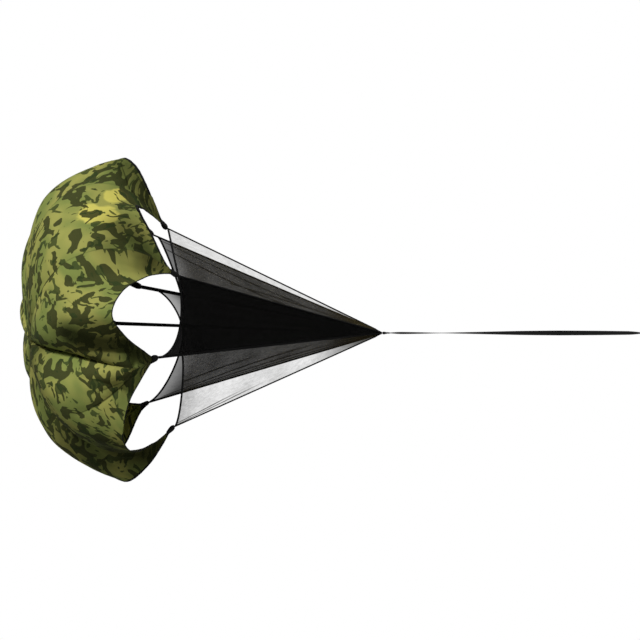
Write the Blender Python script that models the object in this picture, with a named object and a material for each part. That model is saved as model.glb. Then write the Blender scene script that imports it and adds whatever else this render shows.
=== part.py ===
"""Speed parachute: a camouflage canopy of eight gores on eight lines, mesh between the lines,
a twisted webbing strap and a swivel snap hook.

Metres, +Z up. The pull runs along +X. The origin is where the belt's ring bears inside the
hook's bow, and the crown of the canopy points along -X.
"""
import math

import bmesh
import bpy
from mathutils import Matrix, Vector

# Whole object
STRAP_RUN = 0.941            # line knot to the bar of the swivel eye
CROWN_REACH = 1.152          # line knot to the crown centre, along the pull
CLEARANCE = 0.0004           # gap kept between touching pieces
OVERRUN = 0.002              # how far a cutter passes the face it cuts

# Canopy cloth
SHOULDER_DEPTH = 0.298       # crown centre to the widest ring, along the pull
MOUTH_RADIUS = 0.522         # radius of the widest ring
MOUTH_RISE = 0.038           # height of the widest ring's centre over the pull line
CLOTH_THICKNESS = 0.0010
SEAM_GAP = 0.0008            # between two gores, along a seam
CROWN_GAP = 0.0016           # between the crown patch and the gores
BINDING_WIDTH = 0.006
BINDING_THICKNESS = 0.0018
PATCH_LENGTH = 0.026         # corner patch, along the corner
PATCH_THICKNESS = 0.0026
PATCH_GAP = 0.0006           # patch to the cloth and bindings that it is sewn to
PATCH_TIP_WIDTH = 0.015

# Lines and mesh
LINE_WIDTH = 0.0036
LINE_THICKNESS = 0.0018
MESH_THICKNESS = 0.0008
MESH_HEM_WIDTH = 0.006
MESH_HEM_THICKNESS = 0.0016
GATHER_LENGTH = 0.020        # cone in which the lines come together
NECK_RADIUS = 0.0016
KNOT_RADIUS = 0.0032

# Strap
STRAP_WIDTH = 0.020
STRAP_THICKNESS = 0.0016
STRAP_TAIL = 0.045           # sewn end that lies back along the strap
STRAP_FLARE = 0.030          # stretch in which the two plies part around the bar
POCKET_LENGTH = 0.018        # sewn end that holds the line knot
POCKET_WALL = 0.0009
POCKET_LIP = 0.0012          # how far the pocket reaches over the knot's centre

# Swivel eye and snap hook
WIRE_RADIUS = 0.0020         # the eye's round bar
EYE_DEPTH = 0.012            # along the pull, between the middles of the eye's bars
EYE_MARGIN = 0.0010          # eye to webbing, on each side
STEM_RADIUS = 0.0025
STEM_REACH = 0.0045          # eye to barrel
STEM_HEAD_RADIUS = 0.0040
STEM_HEAD_LENGTH = 0.0044
BARREL_RADIUS = 0.0068
BARREL_WALL = 0.0035         # end wall that the stem's head pulls against
BARREL_LENGTH = 0.0100
HEAD_LENGTH = 0.0120         # block that carries the gate
HEAD_WIDTH = 0.0092
HEAD_TOP = 0.0095
HEAD_FOOT = 0.0105
SLOT_WIDTH = 0.0048
SLOT_FLOOR = 0.0010          # below the pull line
HOOK_BAR = 0.0046            # thickness of the hook's round bar
THROAT_LENGTH = 0.019
THROAT_HALF = 0.0070
NOSE_GAP = 0.0120            # bow to the nose's end
GATE_WIDTH = 0.0040
GATE_BAR = 0.0032
GATE_OVERLAP = 0.0030        # how far the gate's tip lies under the nose
KNUCKLE_RADIUS = 0.0029
PIN_RADIUS = 0.0008
SPRING_RADIUS = 0.0014       # middle of the wire
SPRING_WIRE = 0.0004         # wire diameter
SPRING_TURNS = 4

# Directions of the eight corners about the pull line, in degrees from straight up
CORNER_TURNS = [20, 60, 111, 162, 220, 270, 294, 341]
# How far each corner's seam sinks between its gores
VALLEY_SHARES = [0.0, 0.1, 0.75, 0.15, 0.45, 0.1, 0.3, 0.15]
# Depth and radius along a gore's middle, and along a seam that is drawn in deeply
LOBE_SHARES = [(0, 0), (-0.015, 0.17), (-0.01, 0.345), (0.03, 0.51), (0.11, 0.645),
               (0.235, 0.76), (0.46, 0.865), (0.73, 0.945), (1, 1)]
DEEP_SHARES = [(0, 0), (0.11, 0.145), (0.26, 0.28), (0.41, 0.415), (0.56, 0.565),
               (0.665, 0.705), (0.775, 0.835), (0.86, 0.91), (0.99, 0.89)]
RISE_SHARES = [(-0.58,), (-0.25,), (0.17,), (0.58,), (0.92,), (1.08,), (1.17,), (1.08,), (1,)]
CORNER_RISE_SHARE = 0.42
SEAM_SHARES = [1.0, 0.985, 0.91, 0.91, 0.91, 0.91, 0.91, 0.91]   # a shallow seam's radius, to the gores'
SEAM_LAG_SHARE = 0.33        # how far such a seam hangs back, of what it lacks in radius
NOD_SHARE = 0.07             # lean of the crown, down
SKEW_SHARE = 0.08            # lean of the crown, sideways
# Each gore's hem, from one corner to the next: turn, depth and radius
HEM_SHARES = [
    [(0, 1.385, 0.655), (0.17, 1.26, 0.725), (0.3, 1.075, 0.82), (0.44, 0.99, 0.865),
     (0.68, 1.11, 0.805), (0.93, 1.245, 0.725), (1, 1.375, 0.645)],
    [(0, 1.375, 0.645), (0.14, 1.14, 0.765), (0.24, 0.97, 0.86), (0.37, 0.73, 0.92),
     (0.55, 0.6, 0.955), (0.7, 0.745, 0.855), (0.845, 0.955, 0.735), (1, 1.165, 0.57)],
    [(0, 1.165, 0.57), (0.18, 0.99, 0.71), (0.34, 0.85, 0.82), (0.58, 0.805, 0.92),
     (0.8, 0.99, 0.9), (0.93, 1.29, 0.75), (1, 1.475, 0.628)],
    [(0, 1.475, 0.628), (0.05, 1.375, 0.74), (0.12, 1.225, 0.875), (0.23, 1.03, 0.98),
     (0.5, 0.905, 0.91), (0.72, 1.16, 0.8), (0.9, 1.31, 0.675), (1, 1.4, 0.6)],
    [(0, 1.4, 0.6), (0.16, 1.27, 0.705), (0.33, 0.97, 0.86), (0.55, 0.755, 0.92),
     (0.8, 0.915, 0.8), (1, 1.12, 0.615)],
    [(0, 1.12, 0.615), (0.25, 0.99, 0.75), (0.5, 0.925, 0.8), (0.75, 1.095, 0.735),
     (1, 1.385, 0.63)],
    [(0, 1.385, 0.63), (0.15, 1.16, 0.765), (0.3, 0.905, 0.89), (0.55, 0.775, 0.95),
     (0.8, 1.075, 0.845), (1, 1.385, 0.61)],
    [(0, 1.385, 0.61), (0.12, 1.205, 0.8), (0.3, 0.99, 0.935), (0.5, 0.97, 0.98),
     (0.64, 1.02, 1.0), (0.73, 1.11, 0.965), (0.83, 1.185, 0.89), (0.93, 1.28, 0.775),
     (1, 1.385, 0.655)],
]
# Width of each line at its corner, where the mesh is folded over it, to its width at the knot
FOLD_SHARES = [1.3, 1.2, 1.9, 1.3, 1.3, 2.9, 2.0, 1.7]
# Mesh panels: first line, then for each of its two lines where the hem leaves it and is pulled to
MESH_SHARES = [(0, 0.012, 0.012, 0.012, 0.012), (1, 0.012, 0.02, 0.025, 0.15),
               (2, 0.115, 0.13, 0.012, 0.04), (4, 0.012, 0.09, 0.25, 0.29),
               (5, 0.25, 0.26, 0.065, 0.13), (6, 0.17, 0.18, 0.03, 0.045)]
MESH_TURN_SHARE = 0.1        # how far the pull stays from its line, across the panel
MESH_END_SHARE = 0.93
# Roll of the strap along its run, in degrees
ROLL_SHARES = [(0, 0), (0.02, 0), (0.06, 13), (0.2, 0), (0.34, 16), (0.48, 36), (0.61, 49),
               (0.75, 38), (0.87, 25), (0.912, 0), (1, 0)]

CROWN_SHARE = 0.045          # where the gores begin, along their length
GORE_COLUMNS = 11
GORE_ROWS = 10
MESH_COLUMNS = 11
BEND = 3.5                   # how sharply the cloth turns in at the hem
CORNER_BEND = 12
LEG_BEND_SHARE = 0.58        # of the two bends' difference, at the tip of a leg
LEG_SWELL = 2.0              # how much later a leg draws in than it runs forward
BULGE = 2.4
STRAP_STEPS = 36
ROUND = 24

CORNERS = len(CORNER_TURNS)
EYE_BAR_X = -(THROAT_LENGTH + HEAD_LENGTH + BARREL_LENGTH + STEM_REACH + EYE_DEPTH)
KNOT = Vector((EYE_BAR_X - STRAP_RUN, 0, 0))
CORNER_DEPTH_SHARE = HEM_SHARES[0][0][1]


def clear_scene():
    for thing in list(bpy.data.objects):
        bpy.data.objects.remove(thing, do_unlink=True)


def make_material(name, colour, roughness, metallic=0.0):
    material = bpy.data.materials.new(name)
    material.use_nodes = True
    shader = material.node_tree.nodes["Principled BSDF"]
    shader.inputs["Base Color"].default_value = (*colour, 1.0)
    shader.inputs["Roughness"].default_value = roughness
    shader.inputs["Metallic"].default_value = metallic
    return material


def add_object(name, mesh, material):
    thing = bpy.data.objects.new(name, mesh)
    bpy.context.scene.collection.objects.link(thing)
    if material:
        mesh.materials.append(material)
    return thing


def mesh_from(name, bm):
    mesh = bpy.data.meshes.new(name)
    bmesh.ops.recalc_face_normals(bm, faces=bm.faces)
    bm.to_mesh(mesh)
    bm.free()
    return mesh


def smooth(points, share):
    """A point of the smooth curve through the points, at a share of their count."""
    last = len(points) - 1
    place = min(max(share, 0), 1) * last
    first = min(int(place), last - 1)
    u = place - first
    b, c = Vector(points[first]), Vector(points[first + 1])
    a = Vector(points[first - 1]) if first > 0 else 2 * b - c
    d = Vector(points[first + 2]) if first + 2 <= last else 2 * c - b
    return (2 * b + (c - a) * u + (2 * a - 5 * b + 4 * c - d) * u ** 2
            + (3 * b - a - 3 * c + d) * u ** 3) / 2


def smooth1(values, share):
    """The same for a list of single values."""
    return smooth([(value[0], 0) for value in values], share)[0]


def between(table, share):
    """The second value of a table at a share, in straight steps."""
    for (low, a), (high, b) in zip(table, table[1:]):
        if share <= high:
            return a + (b - a) * (share - low) / (high - low)
    return table[-1][1]


# Canopy surface

def cloth_profile(gore, turn, share):
    """Depth and radius shares of the cloth before its hem is drawn in."""
    corner = gore if turn < 0.5 else (gore + 1) % CORNERS
    lobe = smooth(LOBE_SHARES, share)
    deep = smooth(DEEP_SHARES, share)
    lag = (1 - SEAM_SHARES[corner]) * SEAM_LAG_SHARE
    shallow = Vector((lobe.x + lag * share, lobe.y * SEAM_SHARES[corner]))
    seam = shallow.lerp(deep, VALLEY_SHARES[corner])
    return seam.lerp(lobe, 1 - abs(2 * turn - 1) ** BULGE)


def canopy_point(gore, across, along):
    """A point of the cloth: across from corner to corner, along from crown to hem."""
    turn, depth_share, radius_share = smooth(HEM_SHARES[gore], across)
    first, second = CORNER_TURNS[gore], CORNER_TURNS[(gore + 1) % CORNERS]
    second += 360 if second < first else 0
    angle = math.radians(first + (second - first) * turn)
    reach = min(1, 0.53 + 0.47 * depth_share)
    leg = max(0, (depth_share - 1) / (CORNER_DEPTH_SHARE - 1))
    extra = (CORNER_BEND - BEND) * LEG_BEND_SHARE * leg
    forward, inwards = along ** (BEND + extra), along ** (BEND + extra * LEG_SWELL)
    share = reach * along
    flat = cloth_profile(gore, turn, share)
    drawn = Vector((depth_share, radius_share)) - cloth_profile(gore, turn, reach)
    flat += Vector((drawn.x * forward, drawn.y * inwards))
    rise = smooth1(RISE_SHARES, share) + (CORNER_RISE_SHARE - 1) * leg * forward
    radius = flat.y * MOUTH_RADIUS
    lean = max(0, 1 - share) ** 0.7
    x = KNOT.x - CROWN_REACH + flat.x * SHOULDER_DEPTH
    x -= radius * lean * (SKEW_SHARE * math.sin(angle) + NOD_SHARE * math.cos(angle))
    return Vector((x, -radius * math.sin(angle), radius * math.cos(angle) + rise * MOUTH_RISE))


def corner_tip(corner):
    return canopy_point(corner % CORNERS, 0, 1)


def share_before_tip(point_at, distance):
    """The least share from the tip at which point_at lies that distance from its start."""
    tip = point_at(0)
    low, high = 0.0, 0.5
    for _ in range(30):
        middle = (low + high) / 2
        if (point_at(middle) - tip).length < distance:
            low = middle
        else:
            high = middle
    return high


def gore_cuts(gore):
    """Where the corner patches cut a gore: on its two seams and on its hem."""
    left_seam = 1 - share_before_tip(lambda u: canopy_point(gore, 0, 1 - u), PATCH_LENGTH)
    right_seam = 1 - share_before_tip(lambda u: canopy_point(gore, 1, 1 - u), PATCH_LENGTH)
    left_hem = share_before_tip(lambda u: canopy_point(gore, u, 1), PATCH_LENGTH)
    right_hem = 1 - share_before_tip(lambda u: canopy_point(gore, 1 - u, 1), PATCH_LENGTH)
    return left_seam, right_seam, left_hem, right_hem


def inward(gore, across):
    """Unit vector in the cloth, square to the hem, towards the crown."""
    step = 0.004
    low, high = max(0, across - step), min(1, across + step)
    tangent = (canopy_point(gore, high, 1) - canopy_point(gore, low, 1)).normalized()
    back = canopy_point(gore, across, 1 - 2 * step) - canopy_point(gore, across, 1)
    return (back - tangent * back.dot(tangent)).normalized()


def hem_columns(gore):
    """Shares across the hem at which the cloth and its binding have their points."""
    _, _, first, last = gore_cuts(gore)
    return [first + (last - first) * i / (GORE_COLUMNS - 1) for i in range(GORE_COLUMNS)]


def row_shares():
    """Shares along a gore, closer together towards the hem."""
    return [CROWN_SHARE + (1 - CROWN_SHARE) * (1 - (1 - j / GORE_ROWS) ** 1.35)
            for j in range(GORE_ROWS + 1)]


def gore_column(gore, across):
    column = [canopy_point(gore, across, along) for along in row_shares()]
    column[-1] += inward(gore, across) * (BINDING_WIDTH + CLEARANCE)
    return column


def seam_column(gore, across, end):
    """Points along a seam that stop at its patch, held clear of the gore on its other side."""
    beside = (gore + (1 if across else -1)) % CORNERS
    own = gore_column(gore, hem_columns(gore)[-1 if across else 0])
    other = gore_column(beside, hem_columns(beside)[0 if across else -1])
    points = []
    for along, mine, theirs in zip(row_shares(), own, other):
        place = CROWN_SHARE + (along - CROWN_SHARE) * (end - CROWN_SHARE) / (1 - CROWN_SHARE)
        seam = canopy_point(gore, across, place)
        towards, away = (mine - seam).normalized(), (theirs - seam).normalized()
        half = towards.angle(away) / 2
        inset = (SEAM_GAP / 2 + CLOTH_THICKNESS / 2 * math.cos(half)) / math.sin(half)
        points.append(seam + towards * inset)
    return points


def gore_grid(gore):
    left_seam, right_seam, _, _ = gore_cuts(gore)
    inner = [gore_column(gore, across) for across in hem_columns(gore)]
    return [seam_column(gore, 0, left_seam)] + inner + [seam_column(gore, 1, right_seam)]


def sheet(name, grid, thickness, material):
    """A closed cloth of the given thickness around a grid of points."""
    bm = bmesh.new()
    rows = [[bm.verts.new(point) for point in column] for column in grid]
    for left, right in zip(rows, rows[1:]):
        for j in range(len(left) - 1):
            bm.faces.new((left[j], right[j], right[j + 1], left[j + 1]))
    bmesh.ops.triangulate(bm, faces=bm.faces)
    thing = add_object(name, mesh_from(name, bm), material)
    solidify = thing.modifiers.new("thickness", "SOLIDIFY")
    solidify.thickness = thickness
    solidify.offset = 0
    thing.data.shade_smooth()
    thing.data.set_sharp_from_angle(angle=math.radians(40))
    return thing


def gore(index, material):
    return sheet(f"gore_{index + 1}", gore_grid(index), CLOTH_THICKNESS, material)


def hem_binding(index, material):
    grid = []
    for across in hem_columns(index):
        edge = canopy_point(index, across, 1)
        grid.append([edge + inward(index, across) * BINDING_WIDTH, edge])
    return sheet(f"hem_binding_{index + 1}", grid, BINDING_THICKNESS, material)


def corner_patch(corner, material):
    """Black webbing folded over the corner, where its line is sewn on."""
    before = (corner - 1) % CORNERS
    seam_cut, _, near_cut, _ = gore_cuts(corner)
    _, _, _, far_cut = gore_cuts(before)
    tip = corner_tip(corner)
    seam = canopy_point(corner, 0, seam_cut)
    near = canopy_point(corner, near_cut, 1)
    far = canopy_point(before, far_cut, 1)
    gap = PATCH_GAP
    ends = [point + (tip - point).normalized() * gap for point in (far, seam, near)]
    side = (near - far).normalized() * PATCH_TIP_WIDTH / 2
    tips = [tip - side, tip, tip + side]
    middles = [a.lerp(b, 0.5) for a, b in zip(ends, tips)]
    return sheet(f"corner_patch_{corner + 1}", [ends, middles, tips], PATCH_THICKNESS, material)


def crown_patch(material):
    """Round patch over the point where the eight gores meet."""
    rim = []
    for index in range(CORNERS):
        for across in (0, 0.25, 0.5, 0.75):
            rim.append(canopy_point(index, across, CROWN_SHARE))
    middle = sum(rim, Vector()) / len(rim)
    bm = bmesh.new()
    verts = [bm.verts.new(point + (middle - point).normalized() * CROWN_GAP) for point in rim]
    centre = bm.verts.new(middle)
    for a, b in zip(verts, verts[1:] + verts[:1]):
        bm.faces.new((centre, a, b))
    thing = add_object("crown_patch", mesh_from("crown_patch", bm), material)
    solidify = thing.modifiers.new("thickness", "SOLIDIFY")
    solidify.thickness = CLOTH_THICKNESS
    solidify.offset = 0
    return thing


# Lines and mesh

def line_at(corner, share):
    """A point on a line's middle: 0 at the corner, 1 at the knot."""
    return corner_tip(corner).lerp(KNOT, share)


def line_width(corner, share):
    return LINE_WIDTH * (share + FOLD_SHARES[corner % CORNERS] * (1 - share))


def line_frame(corner):
    """Directions of a line: along its run, across its width and through its thickness."""
    along = KNOT - corner_tip(corner)
    run = along.normalized()
    side = Vector((1, 0, 0)).cross(along).normalized()
    return run, side, run.cross(side)


def flat_bar(name, start, end, side, up, widths, material):
    """A flat bar of webbing from start to end, with its width at either end."""
    bm = bmesh.new()
    bmesh.ops.create_cube(bm, size=1)
    for vert in bm.verts:
        x, y, z = vert.co * 2
        point, width = (start, widths[0]) if x < 0 else (end, widths[1])
        vert.co = point + (side * y * width + up * z * LINE_THICKNESS) / 2
    return add_object(name, mesh_from(name, bm), material)


def gather_face():
    """Distance from the knot's middle to the face on which the lines end."""
    return KNOT_RADIUS + CLEARANCE + GATHER_LENGTH


def gather_radius():
    """Radius at which all the lines still meet the gather's face."""
    slopes = []
    for corner in range(CORNERS):
        run = KNOT - corner_tip(corner)
        slopes.append(math.hypot(run.y, run.z) / run.x)
    return max(slopes) * gather_face() + LINE_THICKNESS


def line(corner, material):
    run, side, up = line_frame(corner)
    slope = math.tan(run.angle(Vector((1, 0, 0))))
    start = corner_tip(corner) + run * (PATCH_THICKNESS / 2 * slope + CLEARANCE)
    end = KNOT - run * ((gather_face() + CLEARANCE) / run.x + LINE_THICKNESS / 2 * slope)
    widths = (line_width(corner, 0), line_width(corner, 1))
    return flat_bar(f"line_{corner + 1}", start, end, side, up, widths, material)


def line_margin(corner, across, share):
    """How far along a direction the mesh stays from a line's middle."""
    run, side, up = line_frame(corner)
    square = across - run * across.dot(run)
    out = square.normalized()
    reach = abs(side.dot(out)) * line_width(corner, share) / 2 + abs(up.dot(out)) * LINE_THICKNESS / 2
    return (reach + CLEARANCE) / square.length


def beside_lines(first, share_a, share_b):
    """Points between a line and the next, just clear of each of the two."""
    a, b = line_at(first, share_a), line_at(first + 1, share_b)
    across = (b - a).normalized()
    a += across * line_margin(first, across, share_a)
    b -= across * line_margin(first + 1, across, share_b)
    return a, b


def mesh_front(panel, lead):
    """The curved front of a mesh panel between its two lines, led towards the knot."""
    first, leave_a, pull_a, leave_b, pull_b = panel
    a, b = beside_lines(first, leave_a, leave_b)
    pulled_a, pulled_b = beside_lines(first, pull_a, pull_b)
    turn_a, turn_b = pulled_a.lerp(pulled_b, MESH_TURN_SHARE), pulled_b.lerp(pulled_a, MESH_TURN_SHARE)
    front = []
    for i in range(MESH_COLUMNS):
        w = i / (MESH_COLUMNS - 1)
        v = 1 - w
        point = a * v ** 3 + turn_a * 3 * v ** 2 * w + turn_b * 3 * v * w ** 2 + b * w ** 3
        front.append(point + (KNOT - point).normalized() * lead)
    return front


def mesh_panel(number, panel, material):
    first = panel[0]
    front = mesh_front(panel, MESH_HEM_WIDTH + CLEARANCE)
    a, b = beside_lines(first, MESH_END_SHARE, MESH_END_SHARE)
    back = [a.lerp(b, i / (MESH_COLUMNS - 1)) for i in range(MESH_COLUMNS)]
    return sheet(f"mesh_panel_{number + 1}", [front, back], MESH_THICKNESS, material)


def mesh_hem(number, panel, material):
    rims = [mesh_front(panel, 0), mesh_front(panel, MESH_HEM_WIDTH)]
    return sheet(f"mesh_hem_{number + 1}", rims, MESH_HEM_THICKNESS, material)


def turned(name, profile, material, origin=Vector()):
    """A solid turned about the pull line from (x, radius) points that start and end on it."""
    bm = bmesh.new()
    rings = []
    for x, radius in profile:
        if radius == 0:
            rings.append([bm.verts.new(origin + Vector((x, 0, 0)))])
            continue
        ring = []
        for i in range(ROUND):
            angle = math.tau * i / ROUND
            ring.append(bm.verts.new(origin + Vector((x, radius * math.cos(angle), radius * math.sin(angle)))))
        rings.append(ring)
    for one, two in zip(rings, rings[1:]):
        for i in range(ROUND):
            j = (i + 1) % ROUND
            corners = [one[i % len(one)], two[i % len(two)], two[j % len(two)], one[j % len(one)]]
            unique = list(dict.fromkeys(corners))
            bm.faces.new(unique)
    thing = add_object(name, mesh_from(name, bm), material)
    thing.data.shade_smooth()
    thing.data.set_sharp_from_angle(angle=math.radians(30))
    return thing


def ball_profile(radius, steps=10):
    profile = []
    for i in range(steps + 1):
        angle = math.pi * i / steps
        wide = radius * math.sin(angle) if 0 < i < steps else 0
        profile.append((-radius * math.cos(angle), wide))
    return profile


def line_gather(material):
    """Whipped cone in which the eight lines come together, with a neck to the knot."""
    near = -(KNOT_RADIUS + CLEARANCE)
    neck = near - NECK_RADIUS * 1.5
    far = -gather_face()
    profile = [(far, 0), (far, gather_radius()), (neck, NECK_RADIUS * 1.35), (near, NECK_RADIUS), (near, 0)]
    return turned("line_gather", profile, material, KNOT)


def line_knot(material):
    return turned("line_knot", ball_profile(KNOT_RADIUS), material, KNOT)


# Strap

def box(name, low, high, material):
    bm = bmesh.new()
    bmesh.ops.create_cube(bm, size=1)
    low, high = Vector(low), Vector(high)
    for vert in bm.verts:
        share = vert.co + Vector((1, 1, 1)) / 2
        vert.co = Vector(l + (h - l) * s for l, h, s in zip(low, high, share))
    return add_object(name, mesh_from(name, bm), material)


def boolean(thing, other, operation):
    """Cut or join with a guide that the build leaves out."""
    other.hide_render = True
    other.display_type = "WIRE"
    modifier = thing.modifiers.new(operation.lower(), "BOOLEAN")
    modifier.operation = operation
    modifier.object = other
    modifier.solver = "EXACT"


def strap_pocket(material):
    """Sewn end of the strap that holds the line knot like a ball in a cup."""
    half_height = KNOT_RADIUS + CLEARANCE + POCKET_WALL
    flat_height = STRAP_THICKNESS * 1.4
    stations = [(-POCKET_LIP, half_height, STRAP_WIDTH * 0.4), (half_height, half_height, STRAP_WIDTH * 0.46),
                (POCKET_LENGTH * 0.6, flat_height, STRAP_WIDTH / 2), (POCKET_LENGTH, flat_height, STRAP_WIDTH / 2)]
    bm = bmesh.new()
    rings = []
    for x, up, side in stations:
        bevel = up * 0.4
        rim = [(side, up - bevel), (side - bevel, up), (bevel - side, up), (-side, up - bevel),
               (-side, bevel - up), (bevel - side, -up), (side - bevel, -up), (side, bevel - up)]
        rings.append([bm.verts.new(KNOT + Vector((x, y, z))) for y, z in rim])
    skin(bm, rings)
    pocket = add_object("strap_pocket", mesh_from("strap_pocket", bm), material)
    cup = turned("cup_cutter", ball_profile(KNOT_RADIUS + CLEARANCE), None, KNOT)
    boolean(pocket, cup, "DIFFERENCE")
    return pocket


def skin(bm, rings):
    """Faces between rings of equal length, and over both ends."""
    for one, two in zip(rings, rings[1:]):
        for i in range(len(one)):
            j = (i + 1) % len(one)
            bm.faces.new((one[i], one[j], two[j], two[i]))
    bm.faces.new(list(reversed(rings[0])))
    bm.faces.new(rings[-1])


def strap_route():
    """Middle points of the strap with their rolls: the run, round the eye's bar and back."""
    bar = Vector((EYE_BAR_X, 0, 0))
    loop = WIRE_RADIUS + CLEARANCE + STRAP_THICKNESS / 2
    ply = STRAP_THICKNESS + CLEARANCE
    start = KNOT.x + POCKET_LENGTH + CLEARANCE
    flare = EYE_BAR_X - STRAP_FLARE
    route = []
    for i in range(STRAP_STEPS + 1):
        x = start + (flare - start) * i / STRAP_STEPS
        route.append((Vector((x, 0, 0)), between(ROLL_SHARES, (x - KNOT.x) / STRAP_RUN)))
    steps = 6
    for i in range(1, steps):
        ease = (1 - math.cos(math.pi * i / steps)) / 2
        route.append((Vector((flare + STRAP_FLARE * i / steps, 0, -loop * ease)), 0))
    for i in range(13):
        angle = math.pi * i / 12
        route.append((bar + Vector((math.sin(angle), 0, -math.cos(angle))) * loop, 0))
    for i in range(1, steps + 1):
        ease = (1 + math.cos(math.pi * i / steps)) / 2
        route.append((Vector((EYE_BAR_X - STRAP_FLARE * i / steps, 0, ply + (loop - ply) * ease)), 0))
    route.append((Vector((flare - STRAP_TAIL, 0, ply)), 0))
    return route


def strap(material):
    route = strap_route()
    bm = bmesh.new()
    rings = []
    for i, (point, roll) in enumerate(route):
        ahead = route[min(i + 1, len(route) - 1)][0] - route[max(i - 1, 0)][0]
        run = ahead.normalized()
        side = Matrix.Rotation(math.radians(roll), 3, run) @ Vector((0, 1, 0))
        up = side.cross(run).normalized()
        half, rise = side * STRAP_WIDTH / 2, up * STRAP_THICKNESS / 2
        rings.append([bm.verts.new(point + half * a + rise * b) for a, b in ((1, 1), (-1, 1), (-1, -1), (1, -1))])
    skin(bm, rings)
    return add_object("strap", mesh_from("strap", bm), material)


# Swivel eye and snap hook

def round_bar(name, points, radius, material, closed=False):
    """A round bar along a route, as a curve with filled ends made into a mesh."""
    curve = bpy.data.curves.new(name, "CURVE")
    curve.dimensions = "3D"
    curve.bevel_depth = radius
    curve.bevel_resolution = 3
    curve.use_fill_caps = True
    spline = curve.splines.new("POLY")
    spline.points.add(len(points) - 1)
    for target, point in zip(spline.points, points):
        target.co = (*point, 1)
    spline.use_cyclic_u = closed
    holder = bpy.data.objects.new(name, curve)
    mesh = bpy.data.meshes.new_from_object(holder)
    bpy.data.objects.remove(holder)
    thing = add_object(name, mesh, material)
    mesh.shade_smooth()
    mesh.set_sharp_from_angle(angle=math.radians(40))
    return thing


def rounded(corners, radius, steps=4):
    """A closed outline with its corners rounded."""
    points = []
    for i, corner in enumerate(corners):
        before = (corners[i - 1] - corner).normalized() * radius
        after = (corners[(i + 1) % len(corners)] - corner).normalized() * radius
        for k in range(steps + 1):
            u = k / steps
            points.append(corner + before * (1 - u) ** 2 + after * u ** 2)
    return points


def barrel_left():
    return EYE_BAR_X + EYE_DEPTH + STEM_REACH


def swivel_eye(material):
    half = STRAP_WIDTH / 2 + EYE_MARGIN + WIRE_RADIUS
    left, right = EYE_BAR_X, EYE_BAR_X + EYE_DEPTH
    corners = [Vector((left, -half, 0)), Vector((left, half, 0)), Vector((right, half, 0)),
               Vector((right, -half, 0))]
    eye = round_bar("swivel_eye", rounded(corners, WIRE_RADIUS * 1.5), WIRE_RADIUS, material, closed=True)
    wall = barrel_left() + BARREL_WALL
    head = wall + CLEARANCE
    profile = [(right, 0), (right, STEM_RADIUS), (head, STEM_RADIUS), (head, STEM_HEAD_RADIUS),
               (head + STEM_HEAD_LENGTH, STEM_HEAD_RADIUS), (head + STEM_HEAD_LENGTH, 0)]
    boolean(eye, turned("stem_guide", profile, None), "UNION")
    return eye


def hook_route():
    """Middle of the hook's bar: along the back, round the bow and to the nose."""
    level = THROAT_HALF + HOOK_BAR / 2
    turn = Vector((-THROAT_HALF, 0, 0))
    points = [Vector((-(THROAT_LENGTH + OVERRUN), 0, -level)), Vector((-THROAT_LENGTH * 0.6, 0, -level))]
    for i in range(13):
        angle = math.pi * i / 12
        points.append(turn + Vector((math.sin(angle), 0, -math.cos(angle))) * level)
    points.append(Vector((-NOSE_GAP, 0, level)))
    return points


def gate_pivot():
    """Middle of the gate's pin."""
    x = -(THROAT_LENGTH + HEAD_LENGTH) + KNUCKLE_RADIUS + CLEARANCE * 4
    return Vector((x, 0, THROAT_HALF - CLEARANCE - GATE_BAR / 2))


def hook_body(material):
    """Bow, head block and swivel barrel in one casting."""
    hook = round_bar("hook_body", hook_route(), HOOK_BAR / 2, material)
    left = -(THROAT_LENGTH + HEAD_LENGTH)
    head = box("head_guide", (left, -HEAD_WIDTH / 2, -HEAD_FOOT), (-THROAT_LENGTH, HEAD_WIDTH / 2, HEAD_TOP), None)
    bevel = head.modifiers.new("edges", "BEVEL")
    bevel.width = HEAD_WIDTH * 0.12
    bevel.segments = 2
    boolean(hook, head, "UNION")
    start = barrel_left()
    outer = [(start, 0), (start, BARREL_RADIUS * 0.86), (start + BARREL_RADIUS * 0.14, BARREL_RADIUS),
             (left + OVERRUN, BARREL_RADIUS), (left + OVERRUN, 0)]
    boolean(hook, turned("barrel_guide", outer, None), "UNION")
    wall = start + BARREL_WALL
    pocket_end = wall + STEM_HEAD_LENGTH + CLEARANCE * 2
    inner = [(start - OVERRUN, 0), (start - OVERRUN, STEM_RADIUS + CLEARANCE), (wall, STEM_RADIUS + CLEARANCE),
             (wall, STEM_HEAD_RADIUS + CLEARANCE), (pocket_end, STEM_HEAD_RADIUS + CLEARANCE), (pocket_end, 0)]
    boolean(hook, turned("stem_cutter", inner, None), "DIFFERENCE")
    pivot = gate_pivot()
    slot_left = pivot.x - KNUCKLE_RADIUS - CLEARANCE * 2
    slot = box("slot_cutter", (slot_left, -SLOT_WIDTH / 2, -SLOT_FLOOR),
               (-THROAT_LENGTH + OVERRUN, SLOT_WIDTH / 2, HEAD_TOP + OVERRUN), None)
    boolean(hook, slot, "DIFFERENCE")
    half = HEAD_WIDTH / 2 + OVERRUN
    bore = round_bar("pin_cutter", [pivot - Vector((0, half, 0)), pivot + Vector((0, half, 0))],
                     PIN_RADIUS + CLEARANCE, None)
    boolean(hook, bore, "DIFFERENCE")
    return hook


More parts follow.
